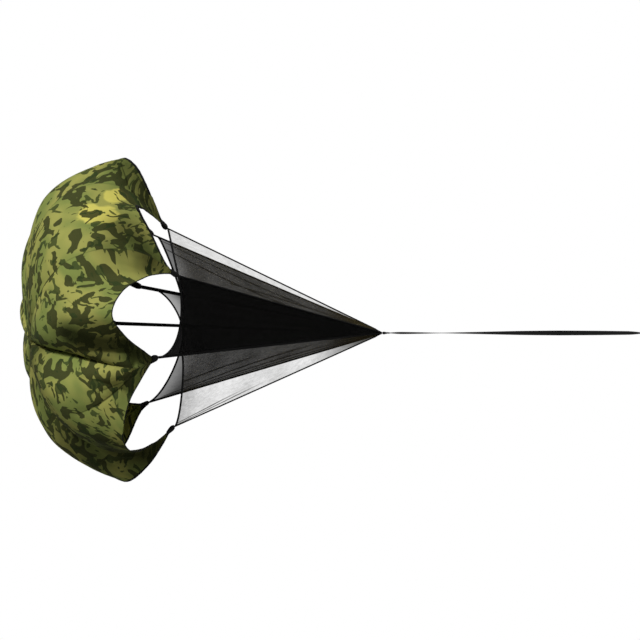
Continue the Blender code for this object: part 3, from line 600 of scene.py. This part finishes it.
def camouflage():
    """Ripstop cloth with ragged dark blotches on olive, thin enough to glow a little, with painted
    shade and a painted highlight in strokes and painted shade along its folds.
    """
    cloth = Finish("camouflage ripstop", (140, 146, 74), 0.8, 0.03)
    uv = cloth.flat()
    tone = cloth.noise(cloth.flat(scale=(1, 0.8, 1)), 6.5, 2.0)
    colour = cloth.mix(cloth.rise(tone, 0.38, 0.6), OLIVE, MOSS)
    pale, painted_shade = cloth.mark("pale"), cloth.mark("painted_shade")
    # the pale strokes turn the print yellow: partly paler print, partly a painted highlight
    ragged = pale + (cloth.noise(uv, 22.0, 2.0) - 0.5) * 0.7
    colour = cloth.mix(cloth.rise(ragged, 0.36, 0.6), colour, YELLOW)
    for shift, scale, detail, spread, low, strength, shade in BLOTCHES:
        place = cloth.flat(scale=(1, 0.85, 1), offset=(*shift, 0))
        # the blotches crowd closer where the painted shade lies
        blotch = cloth.noise(place, scale, detail, 0.5, spread) + painted_shade * 0.03
        colour = cloth.mix(cloth.rise(blotch, low, low + 0.01) * strength, colour, shade)
    # painted shade: the dark strokes darken the cloth towards SHADE
    colour = cloth.mix((painted_shade * 0.75).least(0.92), colour, SHADE)
    x, y, _ = cloth.axes(uv)
    grid = (x.wave(RIPSTOP_PITCH) ** 40).most(y.wave(RIPSTOP_PITCH) ** 40)
    colour = cloth.mix(grid * 0.06, colour, RIPSTOP_YARN)
    seam, hem = cloth.mark("seam"), cloth.mark("hem")
    colour = cloth.mix(cloth.rise(seam, 0.0022, 0.0008) * 0.25, colour, SEAM_SHADE)
    crease = 0.0
    for number, row in enumerate(FOLDS):
        away = cloth.mark(f"fold_{number + 1}_side").size() + cloth.mark(f"fold_{number + 1}_end")
        crease = cloth.rise(away, *CREASE_LINE) * row[3] + crease
    crease = crease.least(1.0)
    # painted shade along the folds' lines
    colour = cloth.mix(crease * 0.75, colour, CREASE_SHADE)
    cloth.set("Base Color", colour)
    felled = cloth.rise(seam, 0.0065, 0.0050)
    near, far = ((seam - row).size() for row in SEAM_ROWS)
    stitch = (cloth.rise(near.least(far), 0.0006, 0.0003)
              * cloth.rise(y.wave(SEAM_STITCH_PITCH), -0.2, 0.2))
    creases = cloth.noise(cloth.flat(scale=(1, 0.45, 1)), 60.0, 4.0, 0.6)
    gathered = cloth.rise(hem, 0.03, 0.0) * 0.6 + 0.7
    height = felled * 0.5 + grid * 0.15 - stitch * 0.5 + creases * gathered - crease * 1.2
    cloth.bump(height, 0.0016, 0.55)
    cloth.set("Roughness", cloth.noise(uv, 30.0) * 0.2 + 0.7)
    thin = cloth.node("ShaderNodeBsdfTranslucent", None, {"Color": colour})
    shaders = [CLOTH_GLOW, cloth.shader.outputs[0], thin.outputs[0]]
    both = cloth.node("ShaderNodeMixShader", None, shaders)
    output = cloth.tree.nodes["Material Output"]
    cloth.tree.links.new(both.outputs[0], output.inputs["Surface"])
    return cloth.material


def binding_tape():
    tape = Finish("black grosgrain tape", (14, 14, 14), 0.72, 0.08)
    x, y, _ = tape.axes(tape.flat())
    rib = y.ribs(TAPE_RIB_PITCH)
    row = tape.rise((x - 0.0018).size(), 0.0005, 0.0002)
    stitch = row * tape.rise(y.wave(TAPE_STITCH_PITCH), -0.3, 0.1)
    tape.set("Base Color", tape.mix(stitch * 0.8 + rib * 0.1, (8, 8, 8), (40, 40, 38)))
    tape.set("Roughness", tape.noise(tape.flat(), 90.0) * 0.2 + 0.62)
    tape.bump(rib * 0.5 + stitch, 0.0003, 0.8)
    return tape.material


def flat_webbing(name, pitch, colour):
    """Woven webbing with diagonal ribs that meet along its middle."""
    band = Finish(name, colour, 0.68, 0.05)
    x, y, _ = band.axes(band.flat())
    ribs = ((x * 0.9).size() + y).ribs(pitch) * x.ribs(pitch * 0.8)
    dust = band.noise(band.flat(), 55.0, 3.0)
    worn = ribs * 0.45 + band.rise(dust, 0.5, 0.75) * 0.15
    band.set("Base Color", band.mix(worn, colour, tuple(c + 24 for c in colour)))
    band.set("Roughness", dust * 0.2 + 0.6)
    band.bump(ribs, 0.00035, 0.9)
    return band.material


def thread():
    cord = Finish("black bonded thread", (18, 18, 19), 0.5, 0.15)
    x, y, _ = cord.axes(cord.flat())
    lay = (y + x * 1.4).ribs(THREAD_LAY)
    cord.set("Base Color", cord.mix(lay * 0.5, (14, 14, 15), (46, 46, 46)))
    cord.set("Roughness", cord.noise(cord.flat(), 200.0) * 0.2 + 0.4)
    cord.bump(lay, 0.0001, 0.8)
    return cord.material


def open_mesh(number, cover, fringe, dusty, creases):
    """Black net whose holes let light through, open at its hem and darker where it is creased."""
    net = Finish(f"black mesh {number + 1}", (16, 16, 15), 0.8, 0.06)
    x, y, _ = net.axes(net.flat())
    cells = (x + y * 0.5).wave(MESH_PITCH) * (x - y * 0.5).wave(MESH_PITCH)
    hole = net.rise(cells.size(), 0.15, 0.6)
    cloudy = net.noise(net.flat(offset=(number * 2.3, 4.0, 0)), 9.0, 3.0)
    fine = net.flat(scale=(1, 0.5, 1), offset=(number * 1.7, 0, 0))
    grain = net.noise(fine, 120.0, 3.0, 0.7)
    across, reach, wide = net.mark("across"), net.mark("reach"), net.mark("wide")
    crease = 0.0
    for start, slope, low, high in creases:
        off = ((across - start - reach * slope) * wide).size()
        run = net.rise(reach, low - 0.02, low) * net.rise(reach, high, high - 0.25)
        crease = (net.rise(off, *NET_CREASE_LINE) * run).most(crease)
    open_front = net.rise(net.mark("hem"), 0.0, 0.075, 1.0, 0.0)
    rough = 0.4 + cover * 1.2
    uneven = 1 + (cloudy - 0.5) * rough + (grain - 0.5) * rough + (hole - 0.5) * 0.3
    light = ((1 - cover) * uneven + open_front * fringe) * (1 - crease * 0.88)
    light = light * net.rise(net.mark("knot"), 0.03, 0.25, 0.1, 1.0)
    net.set("Alpha", 1 - light.most(0.0).least(0.96) ** 0.5)
    net.set("Base Color", net.mix(cloudy * 0.8 + hole * 0.3, tuple(c // 3 for c in dusty), dusty))
    net.set("Roughness", cloudy * 0.1 + 0.75)
    net.bump(hole * 0.3 + crease, 0.0008, 0.6)
    return net.material


def plated_metal(name, colour, roughness):
    metal = Finish(name, colour, roughness, metallic=1.0)
    speck = metal.noise(metal.solid(), 420.0, 4.0, 0.6)
    rub = metal.noise(metal.solid(scale=(1, 6, 6)), 160.0, 3.0, 0.6)
    worn = metal.rise(rub, 0.52, 0.68) * 0.25 + metal.rise(speck, 0.6, 0.8) * 0.15
    metal.set("Base Color", metal.mix(worn, colour, tuple(int(c * 0.72) for c in colour)))
    metal.set("Roughness", rub * 0.22 + (roughness - 0.08))
    metal.bump(speck * 0.6 + rub * 0.4, 0.00012, 0.5)
    return metal.material


CAMO = camouflage()
TAPE = binding_tape()
LINE = flat_webbing("black line tape", 0.0016, (7, 7, 7))
WEBBING = flat_webbing("black strap webbing", 0.0026, (11, 11, 11))
THREAD = thread()
NICKEL = plated_metal("nickel plate", (160, 158, 152), 0.26)
STEEL = plated_metal("spring steel", (142, 142, 144), 0.34)
METAL = [
    ("swivel_eye", "strap", "nickel", NICKEL), ("hook_body", "hook", "nickel", NICKEL),
    ("gate", "gate", "nickel", NICKEL), ("gate_pin", "hook", "spring_steel", STEEL),
    ("gate_spring", "hook", "spring_steel", STEEL)
]
NETS = [open_mesh(number, *row) for number, row in enumerate(MESH_LOOKS)]


# Canopy cloth

def pleats(phase, length):
    """Uneven ripples of about the given length, from -1 to 1."""
    turns = phase * (math.tau / length)
    return sum(strength * np.sin(turns * pace + start) for pace, strength, start in PLEAT_WAVES) / 2


def bell(distance, width):
    return np.exp(-(distance / width) ** 2)


def ripples(phase, off, kind):
    """Ripples that start at a seam or hem and fade with the distance off it."""
    length, start, fade, depth = kind
    return pleats(phase, length) * (1 - np.exp(-off / start)) * np.exp(-off / fade) * depth


def held_pleats(phase, seam, off, kind):
    """Pleats held flat at a seam, which fade with another distance."""
    length, start, fade, depth = kind
    return pleats(phase, length) * np.minimum(1, seam / start) * np.exp(-off / fade) * depth


def cloth_folds(gore, points):
    """How far the cloth stands off its smooth shape, the distances to seam and hem, and folds."""
    over, down = lengths(points, 0), lengths(points, 1)
    seam = np.minimum(over, over[-1] - over)
    hem = down[:, -1:] - down
    own = gore * OWN_PHASE
    middle = over - over[-1] / 2 + own
    stand = ripples(down + own, seam, PUCKERS) + ripples(over + own, hem, GATHERS)
    legs = held_pleats(middle + LEG_SLANT * down, seam, seam, LEG_PLEATS)
    stand += legs * bell(hem - LEG_MIDDLE, LEG_RUN)
    stand += held_pleats(middle, seam, down, CROWN_PLEATS)
    billow = np.sin(over * BILLOW_TURNS[0] + gore * 2.1)
    billow = billow * np.sin(down * BILLOW_TURNS[1] + gore * 1.3) * BILLOW_DEPTH
    stand += billow * (1 - np.exp(-seam / BILLOW_RUN)) * (1 - np.exp(-hem / BILLOW_RUN))
    ease = np.minimum(1, down / VALLEY_EASES[0]) * np.minimum(1, hem / VALLEY_EASES[1])
    for corner, off in ((gore, over), ((gore + 1) % CORNERS, over[-1] - over)):
        share = off / VALLEY_RUN
        stand += VALLEY_SWELL * VALLEY_SHARES[corner] ** 2 * share * np.exp(1 - share) * ease
    drawn_in, folds = fold_lines(points)
    sewn = np.minimum(1, seam / SEAM_HOLD) * np.clip((down - DISC_RADIUS) / DISC_HOLD, 0, 1)
    return (stand - drawn_in) * sewn, seam, hem, folds


def fold_lines(points):
    """Depth of the folds at each point, and its distances beside and past the end of each."""
    depth, marks = np.zeros(points.shape[:2]), []
    for start, end, deep, _ in FOLDS:
        start, run = np.array(start), np.array(end) - np.array(start)
        length = np.linalg.norm(run)
        outward = (start + run / 2) * [0, 1, 1]
        beside = (points - start) @ unit(np.cross(run, outward))
        share = (points - start) @ run / length ** 2
        beyond = np.maximum(0, np.abs(share - 0.5) - 0.5) * length
        behind = np.maximum(0, -FOLD_FADE - (points - start) @ unit(outward))
        taper = FOLD_TAPER * (2 * np.clip(share, 0, 1) - 1) ** 2
        depth += deep * np.exp(-(np.abs(beside) + beyond + behind) / FOLD_BREADTH)
        marks += [beside, beyond + behind + taper]
    return depth, marks


def stroke_strength(points, strokes):
    """How strongly each point is painted by a table of strokes."""
    total = np.zeros(points.shape[:2])
    for start, end, breadth, strength in strokes:
        start, run = np.array(start), np.array(end) - np.array(start)
        share = np.clip((points - start) @ run / (run @ run), 0, 1)
        away = np.linalg.norm(points - start - run * share[..., None], axis=-1)
        total = np.maximum(total, strength * bell(away, breadth))
    return total


def canopy_cloth():
    """The eight gores as one sheet, sewn together along their seams."""
    bm = bmesh.new()
    names = ["seam", "hem", "pale", "painted_shade"]
    names += [f"fold_{k + 1}_{part}" for k in range(len(FOLDS)) for part in ("side", "end")]
    for name in names:
        bm.verts.layers.float.new(name)
    across = np.linspace(0, 1, GORE_COLUMNS + 1)[:, None]
    rows = 1 - (1 - np.linspace(0, 1, GORE_ROWS + 1)) ** ROW_CROWDING
    along = CLOTH_START + (1 - CLOTH_START) * rows[None]
    for gore in range(CORNERS):
        points = canopy_surface(gore, across, along)
        du, dv = np.gradient(points, axis=0), np.gradient(points, axis=1)
        normal = unit(np.cross(dv, du))
        normal *= np.where(np.sum(normal * (points - KNOT), -1, keepdims=True) < 0, -1, 1)
        stand, seam, hem, folds = cloth_folds(gore, points)
        # paler print that is partly a painted highlight, and painted shade
        tones = [stroke_strength(points, strokes) for strokes in (PALE_PRINT_AND_HIGHLIGHT_STROKES, PAINTED_SHADE_STROKES)]
        points = points + normal * stand[..., None]
        over, down = lengths(points, 0), lengths(points, 1)
        gathered = 1 + PRINT_GATHER * np.exp(-hem / PRINT_RUN)
        uv = np.stack([(over - over[-1] / 2) * gathered + gore * PRINT_SHIFT[0],
                       down + gore * PRINT_SHIFT[1]], -1)
        place_grid(bm, points, uv, dict(zip(names, [seam, hem, *tones, *folds])))
    bmesh.ops.remove_doubles(bm, verts=bm.verts, dist=SEAM_JOIN)
    bmesh.ops.recalc_face_normals(bm, faces=bm.faces)
    sewn = bm.verts.layers.float["seam"]
    for edge in bm.edges:
        edge.smooth = max(vert[sewn] for vert in edge.verts) > 1e-6
    gores = [f"gore_{k + 1}" for k in range(CORNERS)]
    return finish_mesh("canopy_cloth", bm, CAMO, "camo_cloth", "canopy", gores, CLOTH_THICKNESS)


def corner_to_corner():
    """Mean length of the cloth from a corner over the crown to the one opposite."""
    along = np.linspace(0, 1, 200)[None]
    seams = [canopy_surface(corner, np.zeros((1, 1)), along) for corner in range(CORNERS)]
    return 2 * float(np.mean([lengths(seam, 1)[0, -1] for seam in seams]))


def crown_disc():
    """Round patch sewn over the crown, lying just outside the cloth."""
    rings = DISC_SHARE * np.linspace(0.02, 1, 9)[None]
    across = np.linspace(0, 1, GORE_COLUMNS // 2 + 1)[:-1, None]
    points = [canopy_surface(gore, across, rings) for gore in range(CORNERS)]
    points = np.concatenate(points + [points[0][:1]])
    points[..., 0] -= DISC_STANDOFF
    bm = bmesh.new()
    around = np.linspace(0, math.tau, len(points))[:, None]
    radius = lengths(points, 1)
    place_grid(bm, points, np.stack([radius * np.cos(around), radius * np.sin(around)], -1))
    bmesh.ops.remove_doubles(bm, verts=bm.verts, dist=SEAM_JOIN)
    middle = Vector(points[:, 0].mean(axis=0))
    hole = [edge for edge in bm.edges
            if edge.is_boundary and (edge.verts[0].co - middle).length < DISC_RADIUS / 3]
    bmesh.ops.holes_fill(bm, edges=hole, sides=0)
    bmesh.ops.recalc_face_normals(bm, faces=bm.faces)
    nodes = ["crown_patch"]
    return finish_mesh("crown_disc", bm, CAMO, "camo_cloth", "canopy", nodes, DISC_THICKNESS)


def hem_tapes():
    """Black tape folded over the edge of each gore."""
    made = []
    for gore in range(CORNERS):
        across = np.linspace(0, 1, 73)
        edge = canopy_surface(gore, across, np.ones_like(across))
        inner = canopy_surface(gore, across, np.full_like(across, TAPE_INSET))
        back, up = straight_frames(edge, inner - edge)
        broad = BINDING_WIDTH * TAPE_SHARES[gore]
        wave = 1 + TAPE_WAVE[0] * np.sin(lengths(edge[:, None], 0)[:, 0] * TAPE_WAVE[1])
        outline = flat_section(broad, BINDING_THICKNESS, squareness=0.5)
        bm = bmesh.new()
        sweep(bm, edge + back * broad / 2, back, up, varied(outline, wave, wave))
        made.append(finish_mesh(f"hem_tape_{gore + 1}", bm, TAPE, "black_binding", "canopy",
                                [f"hem_binding_{gore + 1}"]))
    return made


def off_the_tip(point_at, distance):
    """The first point of a way at that distance from its start; point_at takes a share of it."""
    low, high = 0.0, 0.5
    for _ in range(30):
        middle = (low + high) / 2
        if np.linalg.norm(point_at(middle) - point_at(0)) < distance:
            low = middle
        else:
            high = middle
    return point_at(high)


def corner_tabs():
    """Black webbing folded over each gathered corner and sewn to its line."""
    for corner in range(CORNERS):
        ways = (lambda u: canopy_point(corner, 0, 1 - u), lambda u: canopy_point(corner, u, 1),
                lambda u: canopy_point(corner - 1, 1 - u, 1))
        seam, near, far = (off_the_tip(way, PATCH_LENGTH) for way in ways)
        tip = corner_tip(corner)
        end = tip + unit(KNOT - tip) * TAB_OVERRUN
        share = np.linspace(0, 1, 19)
        t = share[:, None]
        route = ((near + far) / 4 + seam / 2) * (1 - t) ** 2 + tip * 2 * t * (1 - t) + end * t ** 2
        wide = np.linalg.norm(near - far) / 2 + PATCH_MARGIN
        half = np.interp(share, [0, 0.5, 1], [wide, *(PATCH_TIP_WIDTH * k for k in TAB_WIDTHS)])
        bulk = [PATCH_THICKNESS, *(PATCH_BODY * k for k in TAB_DEPTHS)]
        deep = np.interp(share, [0, 0.3, 0.6, 1], bulk)
        deep = np.where(share < 0.15, deep, deep * TAB_SHARES[corner])
        rounding = np.sqrt(np.clip((1.02 - share) / 0.12, 0, 1))
        section = varied(flat_section(2, 2, 24, 0.6), half * rounding, deep * rounding)
        swept_piece(f"corner_tab_{corner + 1}", route, unit(near - far), section, LINE,
                    "black_binding", "canopy", [f"corner_patch_{corner + 1}"])


# Lines and mesh

def line_tapes():
    """Flat tapes from the corners, drawn together into the whipped end."""
    for corner in range(CORNERS):
        tip = corner_tip(corner)
        run, reach = unit(KNOT - tip), np.linalg.norm(KNOT - tip)
        side = unit(np.cross([1.0, 0, 0], KNOT - tip))
        far = np.linspace(-LINE_OVERRUN, reach - LINE_CLOSE, 30)
        places = np.concatenate([far, reach - np.linspace(LINE_CLOSE - 0.004, LINE_END, 6)])
        route = tip + run * places[:, None]
        close = np.clip((reach - places) / LINE_CLOSE, 0, 1)
        drawn = LINE_DRAW * (1 - close)
        route = route - (route - KNOT) * [0, 1, 1] * drawn[:, None]
        share = np.maximum(places, 0) / reach
        width = LINE_WIDTH * (share + FOLD_SHARES[corner] * (1 - share)) * (1 - drawn)
        section = varied(flat_section(1, LINE_THICKNESS), width, np.ones_like(width))
        swept_piece(f"line_tape_{corner + 1}", route, side, section, LINE, "black_line",
                    "canopy", [f"line_{corner + 1}"])


def mesh_front(panel, lead, columns):
    """The curved front of a mesh panel between its two lines, led towards the knot."""
    first, leave_a, pull_a, leave_b, pull_b = panel
    a, b = line_at(first, leave_a), line_at(first + 1, leave_b)
    pulled_a, pulled_b = line_at(first, pull_a), line_at(first + 1, pull_b)
    across = (pulled_b - pulled_a) * MESH_TURN_SHARE
    w = np.linspace(0, 1, columns)[:, None]
    v = 1 - w
    points = (a * v ** 3 + (pulled_a + across) * 3 * v ** 2 * w
              + (pulled_b - across) * 3 * v * w ** 2 + b * w ** 3)
    return points + unit(KNOT - points) * lead


def mesh_panels():
    """The nets between the lines, each with the tape along its front."""
    columns, rows = MESH_GRID
    w = np.linspace(0, 1, columns + 1)[:, None]
    v = np.linspace(0, 1, rows + 1)[None]
    for number, panel in enumerate(MESH_SHARES):
        front = mesh_front(panel, MESH_LEAD, columns + 1)
        a, b = line_at(panel[0], MESH_END), line_at(panel[0] + 1, MESH_END)
        back = a + (b - a) * w
        points = front[:, None] + (back - front)[:, None] * v[..., None]
        normal = unit(np.cross(points[-1, 0] - points[0, 0], points[0, -1] - points[0, 0]))
        ripple = pleats(w * (1.3 + 0.2 * number) + number * 0.31, 0.16) * np.sin(math.pi * w)
        ripple = ripple * np.sin(math.pi * np.clip(v * 1.05, 0, 1)) ** 0.7
        points = points + normal * ripple[..., None] * MESH_RIPPLE
        along, width = lengths(points, 1), lengths(points, 0)
        marks = {"hem": along, "knot": along[:, -1:] - along, "across": w + 0 * along,
                 "reach": v + 0 * along, "wide": width[-1:] + 0 * along}
        bm = bmesh.new()
        for name in marks:
            bm.verts.layers.float.new(name)
        place_grid(bm, points, np.stack([width - width[-1] / 2, along], -1), marks)
        net = finish_mesh(f"mesh_net_{number + 1}", bm, NETS[number], "black_mesh", "canopy",
                          [f"mesh_panel_{number + 1}"], MESH_THICKNESS)
        slant, rise = points[1:, 1:] - points[:-1, :-1], points[:-1, 1:] - points[1:, :-1]
        edge = mesh_front(panel, MESH_HEM_WIDTH / 2, 49)
        section = flat_section(MESH_HEM_WIDTH, MESH_HEM_THICKNESS)
        tape = swept_piece(f"mesh_tape_{number + 1}", edge, unit(KNOT - edge), section, TAPE,
                           "black_binding", "canopy", [f"mesh_hem_{number + 1}"])
        lines = [f"line_{corner % CORNERS + 1}" for corner in (panel[0], panel[0] + 1)]


def round_thread(thickness):
    return flat_section(thickness, thickness, 8, 1.0)


def whipped_end():
    """Thread wound round the gathered lines, from the cone down to the neck."""
    share = np.linspace(0, 1, WHIP_TURNS * 18 + 1)
    angle = math.tau * WHIP_TURNS * share
    out = np.stack([np.zeros_like(angle), np.cos(angle), np.sin(angle)], -1)
    route = KNOT + out * (WHIP_RADII[0] + (WHIP_RADII[1] - WHIP_RADII[0]) * share)[:, None]
    route[:, 0] += WHIP_SPAN[0] + (WHIP_SPAN[1] - WHIP_SPAN[0]) * share
    bm = bmesh.new()
    sweep_flat(bm, route, out, round_thread(WHIP_THREAD))
    core = KNOT + in_plane(np.linspace(*WHIP_CORE_SPAN, 10), 0)
    radius = np.interp(np.linspace(0, 1, 10), [0, 0.8, 1], WHIP_CORE_RADII)
    section = varied(flat_section(2, 2, 20, 1.0), radius, radius)
    sweep_flat(bm, core, ACROSS, section)
    finish_mesh("whipped_end", bm, THREAD, "black_line", "canopy", ["line_gather"])


def knot_ball():
    """Round stopper knot inside the strap's pocket."""
    bm = bmesh.new()
    wind, tilt = (math.tau * turns * np.linspace(0, 1, 181) for turns in KNOT_TURNS)
    radius = KNOT_RADIUS - KNOT_SINK
    way = np.stack([np.cos(wind) * np.cos(tilt), np.sin(wind), np.cos(wind) * np.sin(tilt)], -1)
    sweep_flat(bm, KNOT + unit(way) * radius, way, round_thread(KNOT_THREAD))
    made = bmesh.ops.create_uvsphere(bm, u_segments=24, v_segments=16, radius=radius)["verts"]
    bmesh.ops.translate(bm, verts=made, vec=Vector(KNOT))
    finish_mesh("knot_ball", bm, THREAD, "black_line", "knot", ["line_knot"])


# Strap

def strap_route():
    """Middle points of the strap with their rolls: the run, round the eye's bar and back."""
    loop = WIRE_RADIUS + CLEARANCE + STRAP_THICKNESS / 2
    x = np.linspace(KNOT[0] + POCKET_LENGTH + CLEARANCE, FLARE_X, 121)
    shares, rolls = np.transpose(ROLL_SHARES)
    roll = np.interp((x - KNOT[0]) / STRAP_RUN, shares, rolls)
    roll = np.convolve(np.pad(roll, 2, mode="edge"), np.ones(5) / 5, mode="valid")
    swing = np.cos(np.linspace(0, math.pi, 10))
    out = np.linspace(FLARE_X, EYE_BAR_X, 10)
    angle = np.linspace(0, math.pi, 17)
    route = np.concatenate([
        in_plane(x, 0 * x),
        in_plane(out[1:-1], -loop * (1 - swing[1:-1]) / 2),
        in_plane(EYE_BAR_X + np.sin(angle) * loop, -np.cos(angle) * loop),
        in_plane(out[-2::-1], PLY + (loop - PLY) * (1 + swing[1:]) / 2),
        in_plane(np.linspace(FLARE_X, FLARE_X - STRAP_TAIL, 10)[1:], PLY)])
    return route, np.concatenate([roll, np.zeros(len(route) - len(roll))])


def strap_band():
    route, roll = strap_route()
    run, angle = unit(np.gradient(route, axis=0)), np.radians(roll)[:, None]
    sides = ACROSS * np.cos(angle) + np.cross(run, ACROSS) * np.sin(angle)
    section = flat_section(STRAP_WIDTH, STRAP_THICKNESS, 20, 0.3)
    bm = bmesh.new()
    sweep(bm, route, sides, np.cross(sides, run), section)
    band = finish_mesh("strap_band", bm, WEBBING, "black_webbing", "strap", ["strap"])


def stitch_run(bm, start, end):
    """A row of sewn stitches between two points, lying on a face."""
    start, end = np.array(start, float), np.array(end, float)
    reach = np.linalg.norm(end - start)
    count = max(1, int(reach / (STITCH_LENGTH + STITCH_GAP)))
    way = (end - start) / reach
    side = unit(np.cross(way, [0, 0, 1.0]))
    share = np.linspace(0, 1, 6)
    taper = np.maximum(0.25, np.sin(math.pi * np.clip(share, 0.08, 0.92)) ** 0.5)
    section = varied(round_thread(STITCH_THREAD), taper, taper)
    lift = np.array([0, 0, STITCH_RISE]) * np.sin(math.pi * share)[:, None]
    for k in range(count):
        places = (k + 0.5) * reach / count + (share - 0.5) * STITCH_LENGTH
        sweep_flat(bm, start + way * places[:, None] + lift, side, section)


def strap_stitches():
    """A box of stitches with a cross in it, on both faces of the strap's sewn end."""
    left, right = FLARE_X - STRAP_TAIL + BOX_INSET, FLARE_X - BOX_INSET
    half = STRAP_WIDTH / 2 - SEAM_INSET
    bm = bmesh.new()
    for level in (PLY + STRAP_THICKNESS / 2, -STRAP_THICKNESS / 2):
        a, b, c, d = ((x, y, level) for x, y in ((left, -half), (right, -half), (right, half),
                                                 (left, half)))
        for start, end in ((a, b), (b, c), (c, d), (d, a), (a, c), (b, d)):
            stitch_run(bm, start, end)
    finish_mesh("strap_stitches", bm, THREAD, "black_webbing", "strap")


def pocket_shell():
    """Webbing folded round the knot and sewn shut behind it."""
    stations, widths, heights = POCKET_ROWS.T
    section = varied(flat_section(2, 2, 32, 0.55), widths, heights)
    bm = bmesh.new()
    sweep_flat(bm, KNOT + in_plane(stations, 0), ACROSS, section)
    end = KNOT[0] + stations[0] * 0.9
    front = [face for face in bm.faces if face.calc_center_median().x < end]
    bmesh.ops.inset_region(bm, faces=front, thickness=POCKET_WALL)
    for vert in {vert for face in front for vert in face.verts}:
        off = vert.co - Vector(KNOT)
        off.y = max(-POCKET_MOUTH, min(POCKET_MOUTH, off.y * 0.62))
        vert.co = Vector(KNOT) + off + Vector((POCKET_DENT, 0, 0))
    finish_mesh("pocket_shell", bm, WEBBING, "black_webbing", "strap", ["strap_pocket"])
    stitches = bmesh.new()
    for sign in (1, -1):
        for x in POCKET_SEAMS:
            y = np.linspace(-POCKET_SEAM_HALF, POCKET_SEAM_HALF, 6)
            rim = np.interp(x, stations, widths)
            rise = (1 - (np.abs(y) / rim) ** 3.64) ** 0.275
            level = sign * np.interp(x, stations, heights) * rise
            points = [KNOT + [x, *place] for place in zip(y, level)]
            for start, end in zip(points, points[1:]):
                stitch_run(stitches, start, end)
    finish_mesh("pocket_stitches", stitches, THREAD, "black_webbing", "strap")


def polished_metal():
    """The metal pieces with their round bars and edges smoothed, in place of the plain solids."""
    made = []
    for node, body, slot, material in METAL:
        bm = bmesh.new()
        bm.from_mesh(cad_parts[node].data)
        bmesh.ops.remove_doubles(bm, verts=bm.verts, dist=1e-6)
        piece = finish_mesh(f"polished_{node}", bm, material, slot, body, [node], angle=METAL_EDGE)
        even = piece.modifiers.new("even faces", "WEIGHTED_NORMAL")
        even.weight = 90
        even.keep_sharp = True
        made.append(piece)
        if node == "gate_spring":
            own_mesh(piece)
    return made


# Stage

def show_apart(tree, lit, seen, output):
    """Shows one shader to the camera and in reflections, and another to the rest of the light."""
    rays = tree.nodes.new("ShaderNodeLightPath").outputs
    most = {"operation": "MAXIMUM"}
    share = add_node(tree, "ShaderNodeMath", most, [rays["Is Camera Ray"], rays["Is Glossy Ray"]])
    share = add_node(tree, "ShaderNodeMath", most, [share.outputs[0], rays["Is Transmission Ray"]])
    shaders = [share.outputs[0], lit.outputs[0], seen.outputs[0]]
    mix = add_node(tree, "ShaderNodeMixShader", None, shaders)
    tree.links.new(mix.outputs[0], tree.nodes[output].inputs[0])


def lit_world():
    world = bpy.data.worlds.new("soft light")
    SCENE.world = world
    world.use_nodes = True
    tree = world.node_tree
    plain, white = tree.nodes["Background"], tree.nodes.new("ShaderNodeBackground")
    for sky, level in ((plain, WORLD_LEVEL), (white, 1.0)):
        sky.inputs[0].default_value = (1, 1, 1, 1)
        sky.inputs[1].default_value = level
    show_apart(tree, plain, white, "World Output")


def floor():
    material = bpy.data.materials.new("pale floor")
    material.use_nodes = True
    tree = material.node_tree
    tree.nodes.remove(tree.nodes["Principled BSDF"])
    matt, pale = (add_node(tree, "ShaderNodeBsdfDiffuse", None, [(grey, grey, grey, 1)])
                  for grey in FLOOR_GREYS)
    glow = add_node(tree, "ShaderNodeEmission", None, {"Strength": 1.0})
    shaders = [FLOOR_GLOW, pale.outputs[0], glow.outputs[0]]
    show_apart(tree, matt, add_node(tree, "ShaderNodeMixShader", None, shaders), "Material Output")
    bm = bmesh.new()
    bmesh.ops.create_circle(bm, segments=96, radius=FLOOR_RADIUS, cap_ends=True)
    bmesh.ops.translate(bm, verts=bm.verts, vec=(FLOOR_MIDDLE, 0, FLOOR_LEVEL))
    mesh = bpy.data.meshes.new("floor")
    bm.to_mesh(mesh)
    bm.free()
    mesh.materials.append(material)
    placed("floor", mesh)


def lights():
    for name, place, level, angle in LAMPS:
        lamp = bpy.data.lights.new(name, "SUN")
        lamp.energy = level
        lamp.angle = math.radians(angle)
        placed(name, lamp).rotation_euler = Vector(place).to_track_quat("Z", "Y").to_euler()


def camera():
    lens = bpy.data.cameras.new("camera")
    lens.sensor_width = SENSOR
    lens.lens = SENSOR / 2 / (PICTURE_MIDDLE * PIXEL / CAMERA_DISTANCE)
    lens.clip_start, lens.clip_end = 1.0, 200.0
    holder = placed("camera", lens)
    right = Vector((math.cos(CAMERA_TURN), -math.sin(CAMERA_TURN), 0))
    back = Vector((-math.sin(CAMERA_TURN), -math.cos(CAMERA_TURN), 0))
    aside, above = PICTURE_MIDDLE - KNOT_PIXEL[0], KNOT_PIXEL[1] - PICTURE_MIDDLE
    middle = Vector(KNOT) + (right * aside + Vector((0, 0, above))) * PIXEL
    holder.location = middle + back * CAMERA_DISTANCE
    holder.rotation_euler = back.to_track_quat("Z", "Y").to_euler()
    SCENE.camera = holder


camera()
metal = polished_metal()
strap_band()
cloth = canopy_cloth()
disc = crown_disc()
tapes = hem_tapes()
corner_tabs()
line_tapes()
mesh_panels()
whipped_end()
knot_ball()
pocket_shell()
strap_stitches()
corner_to_corner()
corner_to_corner()
lit_world()
floor()
lights()
SCENE.view_settings.view_transform = "Standard"
